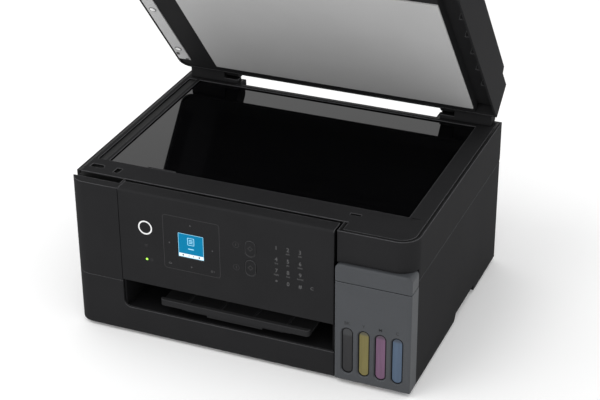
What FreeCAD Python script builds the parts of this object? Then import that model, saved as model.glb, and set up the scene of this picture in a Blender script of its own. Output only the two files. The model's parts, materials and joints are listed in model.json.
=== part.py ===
import FreeCAD, Part
import math
import os

import Sketcher
from FreeCAD import Rotation, Vector

# Inkjet printer with front ink tanks, flatbed scanner and document feeder.
# X runs to the right, Y to the rear and Z up; the origin is on the table under the middle of the body.

# Driving dimensions: millimetres, and degrees for the angles
DIMENSIONS = (
    # Whole body
    ("body_width", "375"),
    ("front_depth", "170"),
    ("rear_depth", "121"),
    ("body_height", "168.5"),
    ("foot_height", "4"),
    ("foot_radius", "8"),
    ("foot_inset", "24"),
    ("wall", "2.5"),
    ("clearance", "0.3"),
    ("running_fit", "0.08"),
    ("front_radius", "18"),
    ("rear_radius", "1.5"),
    ("part_height", "121"),
    # Front: chin, output slot, covers
    ("chin_height", "28.5"),
    ("slot_radius", "8"),
    ("panel_rise", "61.5"),
    ("left_seam_rise", "59.3"),
    ("left_cover_width", "57.5"),
    ("left_cover_depth", "20"),
    ("finger_notch_depth", "9"),
    ("finger_notch_height", "14"),
    ("tank_cover_width", "80"),
    ("cover_proud", "3.5"),
    ("cover_return", "17"),
    ("cover_wall", "3"),
    ("cover_seam_rise", "114.6"),
    ("cover_rise", "134"),
    ("cover_radius", "6"),
    ("cover_edge", "2.4"),
    ("chin_gap", "1.5"),
    ("window_width", "12"),
    ("window_rise", "9.6"),
    ("window_height", "53.4"),
    ("window_pitch", "17.5"),
    ("window_inset", "13.7"),
    ("window_rim", "0.8"),
    ("window_recess", "1.6"),
    ("lift_notch_front", "-28"),
    ("lift_notch_length", "69"),
    ("lift_notch_height", "7"),
    ("lift_notch_slope", "6"),
    ("lift_pocket_depth", "14"),
    # Ink tanks and caps
    ("tank_width", "16.5"),
    ("tank_depth", "90"),
    ("tank_rise", "104"),
    ("tank_step", "22"),
    ("neck_radius", "4.5"),
    ("neck_height", "6"),
    ("neck_back", "20"),
    ("filler_radius", "3.2"),
    ("filler_depth", "18"),
    ("cap_width", "11.6"),
    ("cap_length", "12.5"),
    ("cap_thickness", "2.4"),
    ("cap_pivot_back", "6.5"),
    ("cap_pin_radius", "1"),
    ("cap_ear", "1.9"),
    # Control panel
    ("panel_depth", "17"),
    ("panel_gap", "2"),
    ("panel_slit", "4"),
    ("panel_drop", "0.5"),
    ("panel_radius", "2.5"),
    ("panel_axis_back", "10"),
    ("panel_axis_drop", "7"),
    ("panel_arm_radius", "3.5"),
    ("panel_arm_width", "6"),
    ("panel_arm_inset", "30"),
    ("panel_rib", "3.5"),
    ("panel_pin_radius", "2"),
    ("panel_plate", "2.5"),
    ("button_proud", "0.4"),
    ("button_left", "30"),
    ("button_rise", "67.5"),
    ("button_radius", "8"),
    ("button_depth", "6"),
    ("flange", "1.6"),
    ("lcd_left", "66.5"),
    ("lcd_width", "28.5"),
    ("lcd_rise", "42"),
    ("lcd_height", "27.5"),
    ("lcd_depth", "8"),
    ("key_left", "146.5"),
    ("key_width", "12"),
    ("key_height", "18"),
    ("key_low_rise", "45.5"),
    ("key_high_rise", "67.5"),
    # Output bay and tray
    ("bay_depth", "64"),
    ("bay_top_gap", "1.5"),
    ("tray_inset", "42.5"),
    ("tray_right_gap", "28.5"),
    ("tray_width", "=body_width - left_cover_width - tank_cover_width - tray_inset - tray_right_gap"),
    ("tray_rise", "39.5"),
    ("tray_plate", "2.5"),
    ("tray_lip", "7"),
    ("tray_lip_depth", "5"),
    ("tray_radius", "4"),
    ("tray_length", "172"),
    ("tray_rail", "4.2"),
    ("tray_grip", "2.5"),
    ("tray_rail_reach", "24"),
    ("tray_rib", "1"),
    ("extension_margin", "26"),
    ("extension_plate", "2.2"),
    ("extension_length", "150"),
    ("extension_runner", "4"),
    ("extension_grip", "4"),
    ("extension_lip", "2"),
    # Mechanism
    ("sheet_metal", "2"),
    ("mech_margin", "18"),
    ("mech_back", "20"),
    ("mech_height", "127"),
    ("carriage_end", "30"),
    ("feed_y", "-12"),
    ("feed_rise", "56.5"),
    ("feed_radius", "6"),
    ("journal_radius", "3"),
    ("journal_length", "5"),
    ("feed_gear_radius", "24"),
    ("feed_gear_width", "5"),
    ("feed_gear_teeth", "36"),
    ("tooth_height", "2"),
    ("tooth_width", "2"),
    ("exit_y", "-93"),
    ("exit_radius", "5"),
    ("exit_core", "2.5"),
    ("exit_tyre", "14"),
    ("axle_radius", "1.5"),
    ("pinch_radius", "4"),
    ("star_radius", "4"),
    ("star_width", "1.6"),
    ("nip_gap", "0.3"),
    ("platen_margin", "3"),
    ("platen_plate", "3"),
    ("platen_rib", "4"),
    ("shaft_y", "3"),
    ("shaft_rise", "91"),
    ("shaft_radius", "4"),
    ("carriage_width", "60"),
    ("carriage_height", "54"),
    ("carriage_depth", "44"),
    ("carriage_park", "3"),
    ("head_gap", "2.5"),
    ("head_height", "10"),
    ("arm_height", "18"),
    ("belt_rise", "114"),
    ("belt_width", "5"),
    ("belt_thickness", "1"),
    ("pulley_radius", "5"),
    ("pulley_inset", "9"),
    ("motor_radius", "12"),
    ("motor_length", "34"),
    ("cap_station_width", "38"),
    ("cap_station_depth", "42"),
    ("cap_station_gap", "2.5"),
    # Electronics
    ("board_thickness", "1.6"),
    ("board_width", "54"),
    ("board_height", "76"),
    ("board_back", "15"),
    ("board_inset", "10"),
    ("port_rise", "36"),
    ("port_height", "13.5"),
    ("port_wall", "1"),
    ("port_pitch", "17"),
    ("port_width", "13"),
    ("supply_width", "56"),
    ("supply_depth", "60"),
    ("supply_height", "46"),
    ("supply_inset", "9"),
    ("inlet_width", "22"),
    ("inlet_height", "16"),
    ("inlet_depth", "16"),
    ("inlet_rise", "20"),
    ("inlet_pin_radius", "1.2"),
    ("inlet_pin_pitch", "8.6"),
    # Rear paper feeder
    ("feeder_width", "228"),
    ("feeder_lean", "30"),
    ("feeder_reach", "47"),
    ("feeder_rise", "135"),
    ("feeder_wall", "3"),
    ("feeder_side", "6"),
    ("channel_width", "11"),
    ("lip_rise", "119"),
    ("support_width", "116"),
    ("support_plate", "2.5"),
    ("support_length", "86"),
    ("support_tab", "3"),
    ("rail_thickness", "1.4"),
    ("rail_grip", "4"),
    ("guard_plate", "2"),
    ("guard_pin_radius", "1.2"),
    ("guard_overlap", "3"),
    ("guide_thickness", "3"),
    ("guide_inset", "14"),
    ("guide_length", "40"),
    ("pick_radius", "12"),
    ("pick_back", "14"),
    ("pick_rise", "76"),
    ("pick_tyre", "44"),
    ("cheek", "2.7"),
    ("cheek_size", "12"),
    # Scanner unit
    ("band_set_back", "1.5"),
    ("band_gap", "0.8"),
    ("band_radius", "20"),
    ("case_wall", "3"),
    ("case_ledge", "3"),
    ("case_floor_rise", "130"),
    ("case_floor", "2.5"),
    ("back_set_in", "13.5"),
    ("hinge_inner", "117"),
    ("lift_axis", "5"),
    ("ear_width", "6"),
    ("ear_inset", "34.5"),
    ("lift_pin_radius", "2.4"),
    ("frame_thickness", "4"),
    ("frame_groove", "1"),
    ("glass_left", "21.5"),
    ("glass_width", "330"),
    ("glass_front", "31"),
    ("glass_depth", "218"),
    ("glass_thickness", "2.8"),
    ("glass_drop", "1.6"),
    ("glass_rebate", "1.5"),
    ("feed_glass_left", "8.5"),
    ("feed_glass_width", "8.5"),
    ("hook_hole_left", "9"),
    ("hook_hole_width", "14.6"),
    ("hook_hole_front", "11.5"),
    ("hook_hole_depth", "7"),
    ("latch_hole_left", "37.5"),
    ("latch_hole_width", "6"),
    ("latch_hole_front", "8"),
    ("latch_hole_depth", "10"),
    ("clip_hole_width", "11"),
    ("clip_hole_depth", "3"),
    ("clip_hole_front", "15"),
    ("hole_sink", "2.5"),
    ("scan_bar_width", "14"),
    ("scan_bar_gap", "1.5"),
    ("scan_bar_foot", "3.9"),
    ("scan_bar_margin", "1"),
    ("scan_rail_radius", "3"),
    ("scan_rail_y", "-10"),
    # Lid with document feeder
    ("open_angle", "50.6"),
    ("lid_axis_in", "4.5"),
    ("lid_axis_rise", "15.1"),
    ("hinge_back", "11.5"),
    ("hinge_rise", "13.6"),
    ("lid_depth", "255"),
    ("lid_rim_height", "40.5"),
    ("lid_height", "47.4"),
    ("lid_step", "26"),
    ("lid_step_run", "3"),
    ("lid_radius", "12"),
    ("lid_wall", "2.5"),
    ("lid_deck", "10"),
    ("under_plate", "2.5"),
    ("under_sink", "1"),
    ("channel_left", "24"),
    ("channel_sink", "11"),
    ("lid_rib_width", "5"),
    ("lid_rib", "2"),
    ("lid_rib_first", "69"),
    ("lid_rib_pitch", "34.5"),
    ("mat_left", "48.8"),
    ("mat_width", "302.2"),
    ("mat_rear", "14.5"),
    ("mat_depth", "218"),
    ("mat_proud", "1.2"),
    ("strip_left", "3.2"),
    ("strip_width", "14.5"),
    ("strip_rear", "19"),
    ("strip_length", "216"),
    ("strip_proud", "0.4"),
    ("pad_radius", "3"),
    ("pad_first", "44"),
    ("pad_pitch", "88"),
    ("pad_proud", "0.9"),
    ("post_inner", "137.5"),
    ("post_width", "42"),
    ("post_radius", "10.5"),
    ("post_depth", "15"),
    ("lid_knuckle_inner", "121"),
    ("lid_knuckle_width", "15.5"),
    ("lid_knuckle_radius", "10"),
    ("lid_pin_radius", "4"),
    # Document feeder on the lid
    ("feeder_unit_left", "8"),
    ("feeder_unit_width", "122"),
    ("feeder_unit_rear", "34"),
    ("feeder_unit_depth", "208"),
    ("feeder_unit_height", "26"),
    ("entry_gap", "6"),
    ("flap_axis", "4"),
    ("flap_ear", "3"),
    ("flap_pin_radius", "1.5"),
    ("cover_top_radius", "6"),
    ("roller_hole_width", "70"),
    ("roller_hole_margin", "30"),
    ("roller_hole_left", "40"),
    ("tray_gap", "4"),
    ("input_tray_width", "204"),
    ("input_tray_plate", "4"),
    ("exit_sink", "6"),
    ("exit_margin", "8"),
    ("slide_slot_width", "5"),
    ("slide_slot_left", "70"),
    ("slide_slot_margin", "16"),
    ("guide_foot", "14"),
    ("guide_wall", "3"),
    ("guide_height", "13"),
    ("guide_run", "60"),
    ("guide_spread", "70"),
    ("feed_shaft_radius", "3"),
    ("feed_tyre_radius", "7"),
    ("feed_tyre", "40"),
    ("feed_shaft_rise", "1"),
)

doc = FreeCAD.newDocument("inkjet_printer")
sheet = doc.addObject("Spreadsheet::Sheet", "sizes")
for row, (alias, number) in enumerate(DIMENSIONS, start=1):
    sheet.set(f"A{row}", alias)
    sheet.set(f"B{row}", number)
    sheet.setAlias(f"B{row}", alias)
doc.recompute()


class Size:
    """A length or an angle: the expression that features are bound to, and its present value."""

    def __init__(self, text, value):
        self.text = text
        self.value = value

    def __add__(self, other):
        other = as_size(other)
        return Size(f"({self.text} + {other.text})", self.value + other.value)

    def __sub__(self, other):
        other = as_size(other)
        return Size(f"({self.text} - {other.text})", self.value - other.value)

    def __mul__(self, factor):
        factor = as_size(factor)
        return Size(f"({self.text} * {factor.text})", self.value * factor.value)

    def __truediv__(self, factor):
        factor = as_size(factor)
        return Size(f"({self.text} / {factor.text})", self.value / factor.value)

    def __neg__(self):
        return Size(f"(-{self.text})", -self.value)

    def __radd__(self, other):
        return as_size(other) + self

    def __rsub__(self, other):
        return as_size(other) - self

    def __rmul__(self, other):
        return self * other


def as_size(value):
    return value if isinstance(value, Size) else Size(f"{value:g}", float(value))


class Sheet:
    """Gives each driving dimension by its name."""

    def __getattr__(self, alias):
        return Size(f"sizes.{alias}", float(sheet.get(alias)))


s = Sheet()


def cosine(angle):
    return Size(f"cos({angle.text} * 1 deg)", math.cos(math.radians(angle.value)))


def tangent(angle):
    return Size(f"tan({angle.text} * 1 deg)", math.tan(math.radians(angle.value)))


# Modelling helpers

TURN_TO_AXIS = {"X": Rotation(Vector(0, 1, 0), 90), "Y": Rotation(Vector(1, 0, 0), -90), "Z": Rotation()}
SAME_PLACE = 1e-4


def bind(item, name, value):
    item.setExpression(name, as_size(value).text)


def place(item, x=0, y=0, z=0):
    for axis, value in zip("xyz", (x, y, z)):
        bind(item, f"Placement.Base.{axis}", value)


def new_body(label):
    return doc.addObject("PartDesign::Body", label)


def origin_plane(body, role):
    return next(item for item in body.Origin.OriginFeatures if item.Role == role)


def attach(body, plane, level):
    sketch = body.newObject("Sketcher::SketchObject", "Profile")
    sketch.AttachmentSupport = (origin_plane(body, plane), [""])
    sketch.MapMode = "FlatFace"
    bind(sketch, "AttachmentOffset.Base.z", level)
    return sketch


def fix_point(sketch, geometry, point, place_xy):
    """Holds a sketch point at two bound distances from the sketch's origin."""
    for kind, value in zip(("DistanceX", "DistanceY"), place_xy):
        value = as_size(value)
        index = sketch.addConstraint(Sketcher.Constraint(kind, -1, 1, geometry, point, value.value))
        bind(sketch, f"Constraints[{index}]", value)


def step_towards(corner, neighbour, distance):
    """The point on the square side from a corner to its neighbour, a distance from the corner."""
    across = neighbour[0].value - corner[0].value
    if abs(across) > SAME_PLACE:
        return corner[0] + distance * math.copysign(1, across), corner[1]
    along = neighbour[1].value - corner[1].value
    return corner[0], corner[1] + distance * math.copysign(1, along)


def flat(point):
    return Vector(point[0].value, point[1].value, 0)


def draw_corner(sketch, arrive, leave, corner, radius, lines):
    """A bound arc between the two lines that meet in a rounded corner."""
    centre = flat(arrive) + flat(leave) - flat(corner)
    spokes = [flat(arrive) - centre, flat(leave) - centre]
    links = [(lines[0], 2), (lines[1], 1)]
    if spokes[0].cross(spokes[1]).z < 0:
        spokes.reverse()
        links.reverse()
    angles = [math.atan2(spoke.y, spoke.x) for spoke in spokes]
    circle = Part.Circle(centre, Vector(0, 0, 1), radius.value)
    arc = sketch.addGeometry(Part.ArcOfCircle(circle, angles[0], angles[1]), False)
    for end, (line, point) in enumerate(links, start=1):
        sketch.addConstraint(Sketcher.Constraint("Coincident", arc, end, line, point))
    index = sketch.addConstraint(Sketcher.Constraint("Radius", arc, radius.value))
    bind(sketch, f"Constraints[{index}]", radius)


def draw_polygon(sketch, outline):
    """A closed outline; a corner between square sides may carry a radius as a third value."""
    corners = [(as_size(corner[0]), as_size(corner[1])) for corner in outline]
    count = len(corners)
    arrive, leave = list(corners), list(corners)
    for index, corner in enumerate(outline):
        if len(corner) == 3:
            arrive[index] = step_towards(corners[index], corners[index - 1], corner[2])
            leave[index] = step_towards(corners[index], corners[(index + 1) % count], corner[2])
    for index in range(count):
        line = Part.LineSegment(flat(leave[index]), flat(arrive[(index + 1) % count]))
        sketch.addGeometry(line, False)
    for index, corner in enumerate(outline):
        before = (index - 1) % count
        fix_point(sketch, index, 1, leave[index])
        if len(corner) == 3:
            fix_point(sketch, before, 2, arrive[index])
            draw_corner(sketch, arrive[index], leave[index], corners[index], corner[2], (before, index))
        else:
            sketch.addConstraint(Sketcher.Constraint("Coincident", before, 2, index, 1))


def draw_obround(sketch, low, high, radius):
    """An upright obround between the centres of its two half circles."""
    low = tuple(as_size(value) for value in low)
    high = tuple(as_size(value) for value in high)
    radius = as_size(radius)
    reach = Vector(radius.value, 0, 0)
    down = Vector(low[0].value, low[1].value, 0)
    up = Vector(high[0].value, high[1].value, 0)
    circle_low = Part.Circle(down, Vector(0, 0, 1), radius.value)
    circle_high = Part.Circle(up, Vector(0, 0, 1), radius.value)
    sketch.addGeometry(Part.LineSegment(down + reach, up + reach), False)
    sketch.addGeometry(Part.ArcOfCircle(circle_high, 0, math.pi), False)
    sketch.addGeometry(Part.LineSegment(up - reach, down - reach), False)
    sketch.addGeometry(Part.ArcOfCircle(circle_low, math.pi, 2 * math.pi), False)
    for first, second in ((0, 1), (2, 3)):
        sketch.addConstraint(Sketcher.Constraint("Tangent", first, 2, second, 1))
        sketch.addConstraint(Sketcher.Constraint("Tangent", second, 2, (second + 1) % 4, 1))
    fix_point(sketch, 1, 3, high)
    fix_point(sketch, 3, 3, low)
    index = sketch.addConstraint(Sketcher.Constraint("Radius", 1, radius.value))
    bind(sketch, f"Constraints[{index}]", radius)


def edges_at(shape, axes, first, second):
    """Names the straight edges that run square to a plane through one of its points."""
    found = []
    for number, edge in enumerate(shape.Edges, start=1):
        ends = [vertex.Point for vertex in edge.Vertexes]
        if len(ends) != 2 or edge.Curve.TypeId != "Part::GeomLine":
            continue
        offsets = [abs(getattr(end, axis.lower()) - value.value)
                   for end in ends for axis, value in zip(axes, (first, second))]
        if max(offsets) < SAME_PLACE:
            found.append(f"Edge{number}")
    return found


def round_edges(body, axes, points, radius):
    """Rounds the edges that stand square to two axes at the given points."""
    base = body.Tip
    edges = []
    for first, second in points:
        edges += edges_at(base.Shape, axes, as_size(first), as_size(second))
    rounding = body.newObject("PartDesign::Fillet", "Rounding")
    rounding.Base = (base, edges)
    bind(rounding, "Radius", radius)
    body.Tip = rounding
    doc.recompute()
    return rounding


def finish_feature(body, feature, volume_before):
    doc.recompute()
    if abs(body.Shape.Volume - volume_before) < SAME_PLACE:
        raise RuntimeError(f"{body.Label}: {feature.Name} changes nothing")
    return feature


def extrude(body, kind, plane, low, high, draw, *shape):
    """Pads or pockets a drawn profile between two levels along the plane's own axis."""
    low, high = as_size(low), as_size(high)
    if plane == "XZ_Plane":
        low, high = -high, -low
    volume_before = body.Shape.Volume if body.Tip else 0
    sketch = attach(body, plane, low if kind == "Pad" else high)
    draw(sketch, *shape)
    feature = body.newObject(f"PartDesign::{kind}", kind)
    feature.Profile = sketch
    bind(feature, "Length", high - low)
    return finish_feature(body, feature, volume_before)


def polygon(body, kind, plane, low, high, outline):
    return extrude(body, kind, plane, low, high, draw_polygon, outline)


def rectangle(first, second, radius=None):
    corners = [(first[0], second[0]), (first[1], second[0]), (first[1], second[1]), (first[0], second[1])]
    return [corner + (radius,) for corner in corners] if radius is not None else corners


def block(body, kind, x, y, z):
    """Adds or subtracts a block given by its limits along the axes."""
    volume_before = body.Shape.Volume if body.Tip else 0
    feature = body.newObject(f"PartDesign::{kind}Box", "Block")
    for side, (low, high) in zip(("Length", "Width", "Height"), (x, y, z)):
        bind(feature, side, as_size(high) - low)
    place(feature, x[0], y[0], z[0])
    return finish_feature(body, feature, volume_before)


def bar(body, kind, axis, centre, radius, ends):
    """Adds or subtracts a round bar along an axis; the centre names the other two coordinates."""
    volume_before = body.Shape.Volume if body.Tip else 0
    feature = body.newObject(f"PartDesign::{kind}Cylinder", "Round")
    feature.Placement = FreeCAD.Placement(Vector(), TURN_TO_AXIS[axis])
    bind(feature, "Radius", radius)
    bind(feature, "Height", as_size(ends[1]) - ends[0])
    spot = list(centre)
    spot.insert("XYZ".index(axis), ends[0])
    place(feature, *spot)
    return finish_feature(body, feature, volume_before)


def row_of(body, features, axis, length, count):
    """Repeats features in a straight row along an axis of the body."""
    pattern = body.newObject("PartDesign::LinearPattern", "Row")
    pattern.Originals = features
    pattern.Direction = (origin_plane(body, f"{axis}_Axis"), [""])
    bind(pattern, "Length", length)
    pattern.Occurrences = count
    body.Tip = pattern
    doc.recompute()
    return pattern


def turned(label, steps):
    """A stepped round piece along its own X axis: each step has two ends and a radius."""
    body = new_body(label)
    outline = [(steps[0][0], 0)]
    last_radius = None
    for low, high, radius in steps:
        if last_radius is not None and last_radius.text == radius.text:
            outline[-1] = (high, radius)
        else:
            outline += [(low, radius), (high, radius)]
        last_radius = radius
    outline.append((steps[-1][1], 0))
    sketch = attach(body, "XY_Plane", as_size(0))
    draw_polygon(sketch, outline)
    revolution = body.newObject("PartDesign::Revolution", "Turning")
    revolution.Profile = sketch
    revolution.ReferenceAxis = (sketch, ["H_Axis"])
    revolution.Angle = 360
    doc.recompute()
    return body


def group(label, members):
    compound = doc.addObject("Part::Compound", label)
    compound.Links = members
    doc.recompute()
    return compound


def on_lid(piece):
    """Places a piece that is modelled about the lid's hinge axis, at the lid's opening."""
    piece.Placement = FreeCAD.Placement(Vector(), Rotation(Vector(1, 0, 0), -s.open_angle.value))
    place(piece, 0, lid_axis_y, lid_axis_z)
    bind(piece, "Placement.Rotation.Angle", -s.open_angle)
    return piece


# Levels and edges that several pieces share

left = -s.body_width / 2
right = s.body_width / 2
front = -s.front_depth
rear = s.rear_depth
bottom = s.foot_height
floor = bottom + s.wall
top = bottom + s.body_height
part_line = bottom + s.part_height
slot_floor = bottom + s.chin_height
panel_bottom = bottom + s.panel_rise
left_seam = bottom + s.left_seam_rise
cover_seam = bottom + s.cover_seam_rise
cover_top = bottom + s.cover_rise
cover_front = front - s.cover_proud
cover_back = front + s.cover_return
panel_left = left + s.left_cover_width
tank_left = right - s.tank_cover_width
panel_right = tank_left - s.panel_gap
chin_right = tank_left - s.chin_gap
panel_back = front + s.panel_depth
panel_top = top - s.panel_drop
panel_axis_y = front + s.panel_axis_back
panel_axis_z = panel_top - s.panel_axis_drop
scanner_front = panel_back + s.panel_slit
band_front = front + s.band_set_back
band_left = tank_left + s.band_gap
lift_axis_y = rear - s.lift_axis
lift_axis_z = part_line + s.lift_axis
lid_axis_y = rear - s.lid_axis_in
lid_axis_z = top + s.lid_axis_rise
bay_front = front + s.wall
bay_back = front + s.bay_depth
bay_top = panel_bottom - s.bay_top_gap
tray_left = panel_left + s.tray_inset
tray_right = tray_left + s.tray_width
tray_low = bottom + s.tray_rise
tray_back = front + s.tray_length
plate_left = panel_left - s.mech_margin
plate_right = chin_right - s.sheet_metal
mech_end = right - s.carriage_end
feed_z = bottom + s.feed_rise
exit_z = feed_z + s.feed_radius - s.exit_radius
pinch_z = feed_z + s.feed_radius + s.pinch_radius + s.nip_gap
star_z = exit_z + s.exit_radius + s.star_radius + s.nip_gap
shaft_z = bottom + s.shaft_rise
belt_z = bottom + s.belt_rise
paper_z = feed_z + s.feed_radius
feeder_half = s.feeder_width / 2
feeder_top = bottom + s.feeder_rise
lean = tangent(s.feeder_lean)
upright = cosine(s.feeder_lean)
feeder_back = rear + s.feeder_reach
port_low = bottom + s.port_rise
inlet_low = bottom + s.inlet_rise
board_left = left + s.board_inset
supply_right = right - s.supply_inset
inlet_left = supply_right - (s.supply_width + s.inlet_width) / 2
notch_rear = s.lift_notch_front + s.lift_notch_length


# Housing and base

def make_outer_housing():
    body = new_body("outer_housing")
    high = part_line - s.clearance
    polygon(body, "Pad", "XY_Plane", bottom, high, [
        (left, front, s.front_radius), (right, front),
        (right, rear, s.rear_radius), (left, rear, s.rear_radius)])
    polygon(body, "Pocket", "XY_Plane", bottom, high, [
        (left + s.wall, front + s.wall, s.front_radius - s.wall), (right - s.wall, front + s.wall),
        (right - s.wall, rear - s.wall), (left + s.wall, rear - s.wall)])
    # The open front: tank cover, left cover, and the slot with its rounded lower corner
    block(body, "Subtractive", (chin_right, right), (front, cover_back + s.clearance), (bottom, high))
    block(body, "Subtractive", (left, panel_left), (front, front + s.left_cover_depth), (left_seam, high))
    polygon(body, "Pocket", "XZ_Plane", front, front + s.wall, [
        (panel_left, slot_floor, s.slot_radius), (chin_right, slot_floor),
        (chin_right, high), (panel_left, high)])
    # Lifting notches in the bottom edges of both side walls
    polygon(body, "Pocket", "YZ_Plane", left, right, [
        (s.lift_notch_front, bottom), (notch_rear, bottom), (notch_rear, bottom + s.lift_notch_height),
        (s.lift_notch_front + s.lift_notch_slope, bottom + s.lift_notch_height)])
    # Rear openings: paper path, sockets and mains inlet
    opening = feeder_half - s.wall
    wall_depth = (rear - s.wall, rear)
    block(body, "Subtractive", (-opening, opening), wall_depth, (paper_z - s.wall, lip_z - s.wall))
    block(body, "Subtractive", (board_left + s.wall, board_left + s.board_width - s.wall), wall_depth,
          (port_low - s.clearance, port_low + s.port_height + s.clearance))
    inlet_gap = (inlet_left - s.clearance, inlet_left + s.inlet_width + s.clearance)
    block(body, "Subtractive", inlet_gap, wall_depth,
          (inlet_low - s.clearance, inlet_low + s.inlet_height + s.clearance))
    # Ears that carry the scanner unit's pivot pins
    ear_radius = s.lift_axis - s.clearance
    for side in (-1, 1):
        middle = (right - s.ear_inset) * side
        ends = (middle - s.ear_width / 2, middle + s.ear_width / 2)
        block(body, "Additive", ends, (lift_axis_y - ear_radius, lift_axis_y + ear_radius),
              (lift_axis_z - s.lift_axis * 4, lift_axis_z))
        bar(body, "Additive", "X", (lift_axis_y, lift_axis_z), ear_radius, ends)
        bar(body, "Subtractive", "X", (lift_axis_y, lift_axis_z), s.lift_pin_radius + s.running_fit, ends)
    return body


def make_base_pan():
    body = new_body("base_pan")
    low_x, high_x = left + s.wall, right - s.wall
    low_y, high_y = front + s.wall, rear - s.wall
    polygon(body, "Pad", "XY_Plane", bottom, floor, [
        (low_x, low_y, s.front_radius), (chin_right, low_y), (chin_right, cover_back + s.clearance),
        (high_x, cover_back + s.clearance), (high_x, high_y), (low_x, high_y)])
    # Ribs that carry the floor of the output bay
    rib = block(body, "Additive", (panel_left + s.bay_depth / 4, panel_left + s.bay_depth / 4 + s.wall),
                (front + s.bay_depth / 4, bay_back), (floor, slot_floor - s.wall))
    row_of(body, [rib], "X", (chin_right - panel_left) * 0.8, 5)
    # Finger pockets behind the lifting notches
    roof = bottom + s.lift_notch_height + s.wall
    for outer, inner in ((low_x, low_x + s.lift_pocket_depth), (high_x, high_x - s.lift_pocket_depth)):
        ends = (outer, inner) if outer.value < inner.value else (inner, outer)
        block(body, "Additive", ends, (s.lift_notch_front - s.wall, notch_rear + s.wall), (bottom, roof))
        mouth = (outer, inner - s.wall) if outer.value < inner.value else (inner + s.wall, outer)
        block(body, "Subtractive", mouth, (s.lift_notch_front, notch_rear),
              (bottom, bottom + s.lift_notch_height))
    return body


def make_rubber_feet():
    feet = []
    for x in (left + s.foot_inset, right - s.foot_inset):
        for y in (front + s.foot_inset, rear - s.foot_inset):
            foot = new_body("foot")
            bar(foot, "Additive", "Z", (x, y), s.foot_radius, (0, bottom))
            feet.append(foot)
    return group("rubber_feet", feet)


def make_left_front_cover():
    body = new_body("left_front_cover")
    edge = panel_left - s.clearance
    back = front + s.left_cover_depth - s.clearance
    low = left_seam + s.clearance
    polygon(body, "Pad", "XY_Plane", low, panel_top, [
        (left, front, s.front_radius), (edge, front), (edge, back), (left, back)])
    polygon(body, "Pocket", "XY_Plane", low, panel_top - s.wall, [
        (left + s.wall, front + s.wall, s.front_radius - s.wall), (edge - s.wall, front + s.wall),
        (edge - s.wall, back), (left + s.wall, back)])
    # Finger notch behind the top edge, closed below by a shelf
    notch = (back - s.finger_notch_depth + s.clearance, back)
    shelf = panel_top - s.finger_notch_height
    block(body, "Subtractive", (left, edge - s.wall), notch, (shelf, panel_top))
    block(body, "Additive", (left + s.wall / 2, edge - s.wall / 2), notch, (shelf - s.wall, shelf))
    return body


def make_front_frame():
    """Inner front wall with two arms whose stub pins carry the control panel."""
    body = new_body("front_frame")
    face = panel_back + s.clearance
    high = panel_axis_z - s.panel_arm_radius
    block(body, "Additive", (panel_left + s.clearance, panel_right), (face, face + s.panel_plate),
          (bay_top, high))
    for middle in panel_arms():
        ends = (middle - s.panel_arm_width / 2, middle + s.panel_arm_width / 2)
        polygon(body, "Pad", "YZ_Plane", *ends, [
            (face, high - s.panel_depth * 1.6), (panel_axis_y - s.panel_arm_radius, high - s.panel_depth),
            (panel_axis_y - s.panel_arm_radius, panel_axis_z),
            (panel_axis_y + s.panel_arm_radius, panel_axis_z),
            (panel_axis_y + s.panel_arm_radius, high), (face, high)])
        bar(body, "Additive", "X", (panel_axis_y, panel_axis_z), s.panel_arm_radius, ends)
        bar(body, "Additive", "X", (panel_axis_y, panel_axis_z), s.panel_pin_radius,
            (ends[0] - s.panel_rib, ends[1] + s.panel_rib))
    return body


def panel_arms():
    return panel_left + s.panel_arm_inset, panel_right - s.panel_arm_inset


def make_output_bay():
    """Liner of the output slot with the grooved rails that the tray slides in."""
    body = new_body("output_bay")
    low_x, high_x = panel_left, chin_right
    block(body, "Additive", (low_x, high_x), (bay_front, bay_back), (slot_floor - s.wall, bay_top))
    polygon(body, "Pocket", "XY_Plane", slot_floor, bay_top, [
        (low_x + s.wall, bay_front), (high_x - s.wall, bay_front), (high_x - s.wall, bay_back - s.wall),
        (low_x + s.wall, bay_back - s.wall)])
    tunnel = (tray_left - s.tray_grip, tray_right + s.tray_grip)
    block(body, "Subtractive", tunnel, (bay_back - s.wall, bay_back),
          (tray_low - s.tray_rail * 2, bay_top - s.wall))
    # A small ventilation slit in the back wall
    block(body, "Subtractive", (low_x + s.tray_inset / 4, low_x + s.tray_inset * 0.7),
          (bay_back - s.wall, bay_back), (bay_top - s.wall * 3, bay_top - s.wall * 2))
    rail_y = (bay_back - s.tray_rail_reach, tray_back)
    rail_z = (tray_low - s.tray_rail, tray_low + s.tray_plate + s.tray_rail)
    groove = (tray_low - s.clearance, tray_low + s.tray_plate + s.clearance)
    block(body, "Additive", (tray_left - s.tray_rail, tray_left + s.tray_grip), rail_y, rail_z)
    block(body, "Subtractive", (tray_left - s.clearance, tray_left + s.tray_grip), rail_y, groove)
    block(body, "Additive", (tray_right - s.tray_grip, tray_right + s.tray_rail), rail_y, rail_z)
    block(body, "Subtractive", (tray_right - s.tray_grip, tray_right + s.clearance), rail_y, groove)
    return body


def make_tank_cover():
    body = new_body("tank_cover")
    low = bottom + s.clearance
    high = cover_seam - s.clearance / 2
    polygon(body, "Pad", "XY_Plane", low, high, rectangle((tank_left, right), (cover_front, cover_back)))
    round_edges(body, "XZ", [(tank_left, low)], s.cover_wall)
    round_edges(body, "XY", [(tank_left, cover_front), (right, cover_front)], s.cover_edge)
    polygon(body, "Pocket", "XY_Plane", low, high, rectangle(
        (tank_left + s.cover_wall, right - s.cover_wall), (cover_front + s.cover_wall, cover_back)))
    window = obround_window(body, "Pocket", "XZ_Plane", s.window_width / 2, cover_front,
                            cover_front + s.cover_wall)
    rim = obround_window(body, "Pocket", "XZ_Plane", s.window_width / 2 + s.window_rim, cover_front,
                         cover_front + s.window_rim)
    row_of(body, [window, rim], "X", s.window_pitch * 3, 4)
    return body


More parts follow.
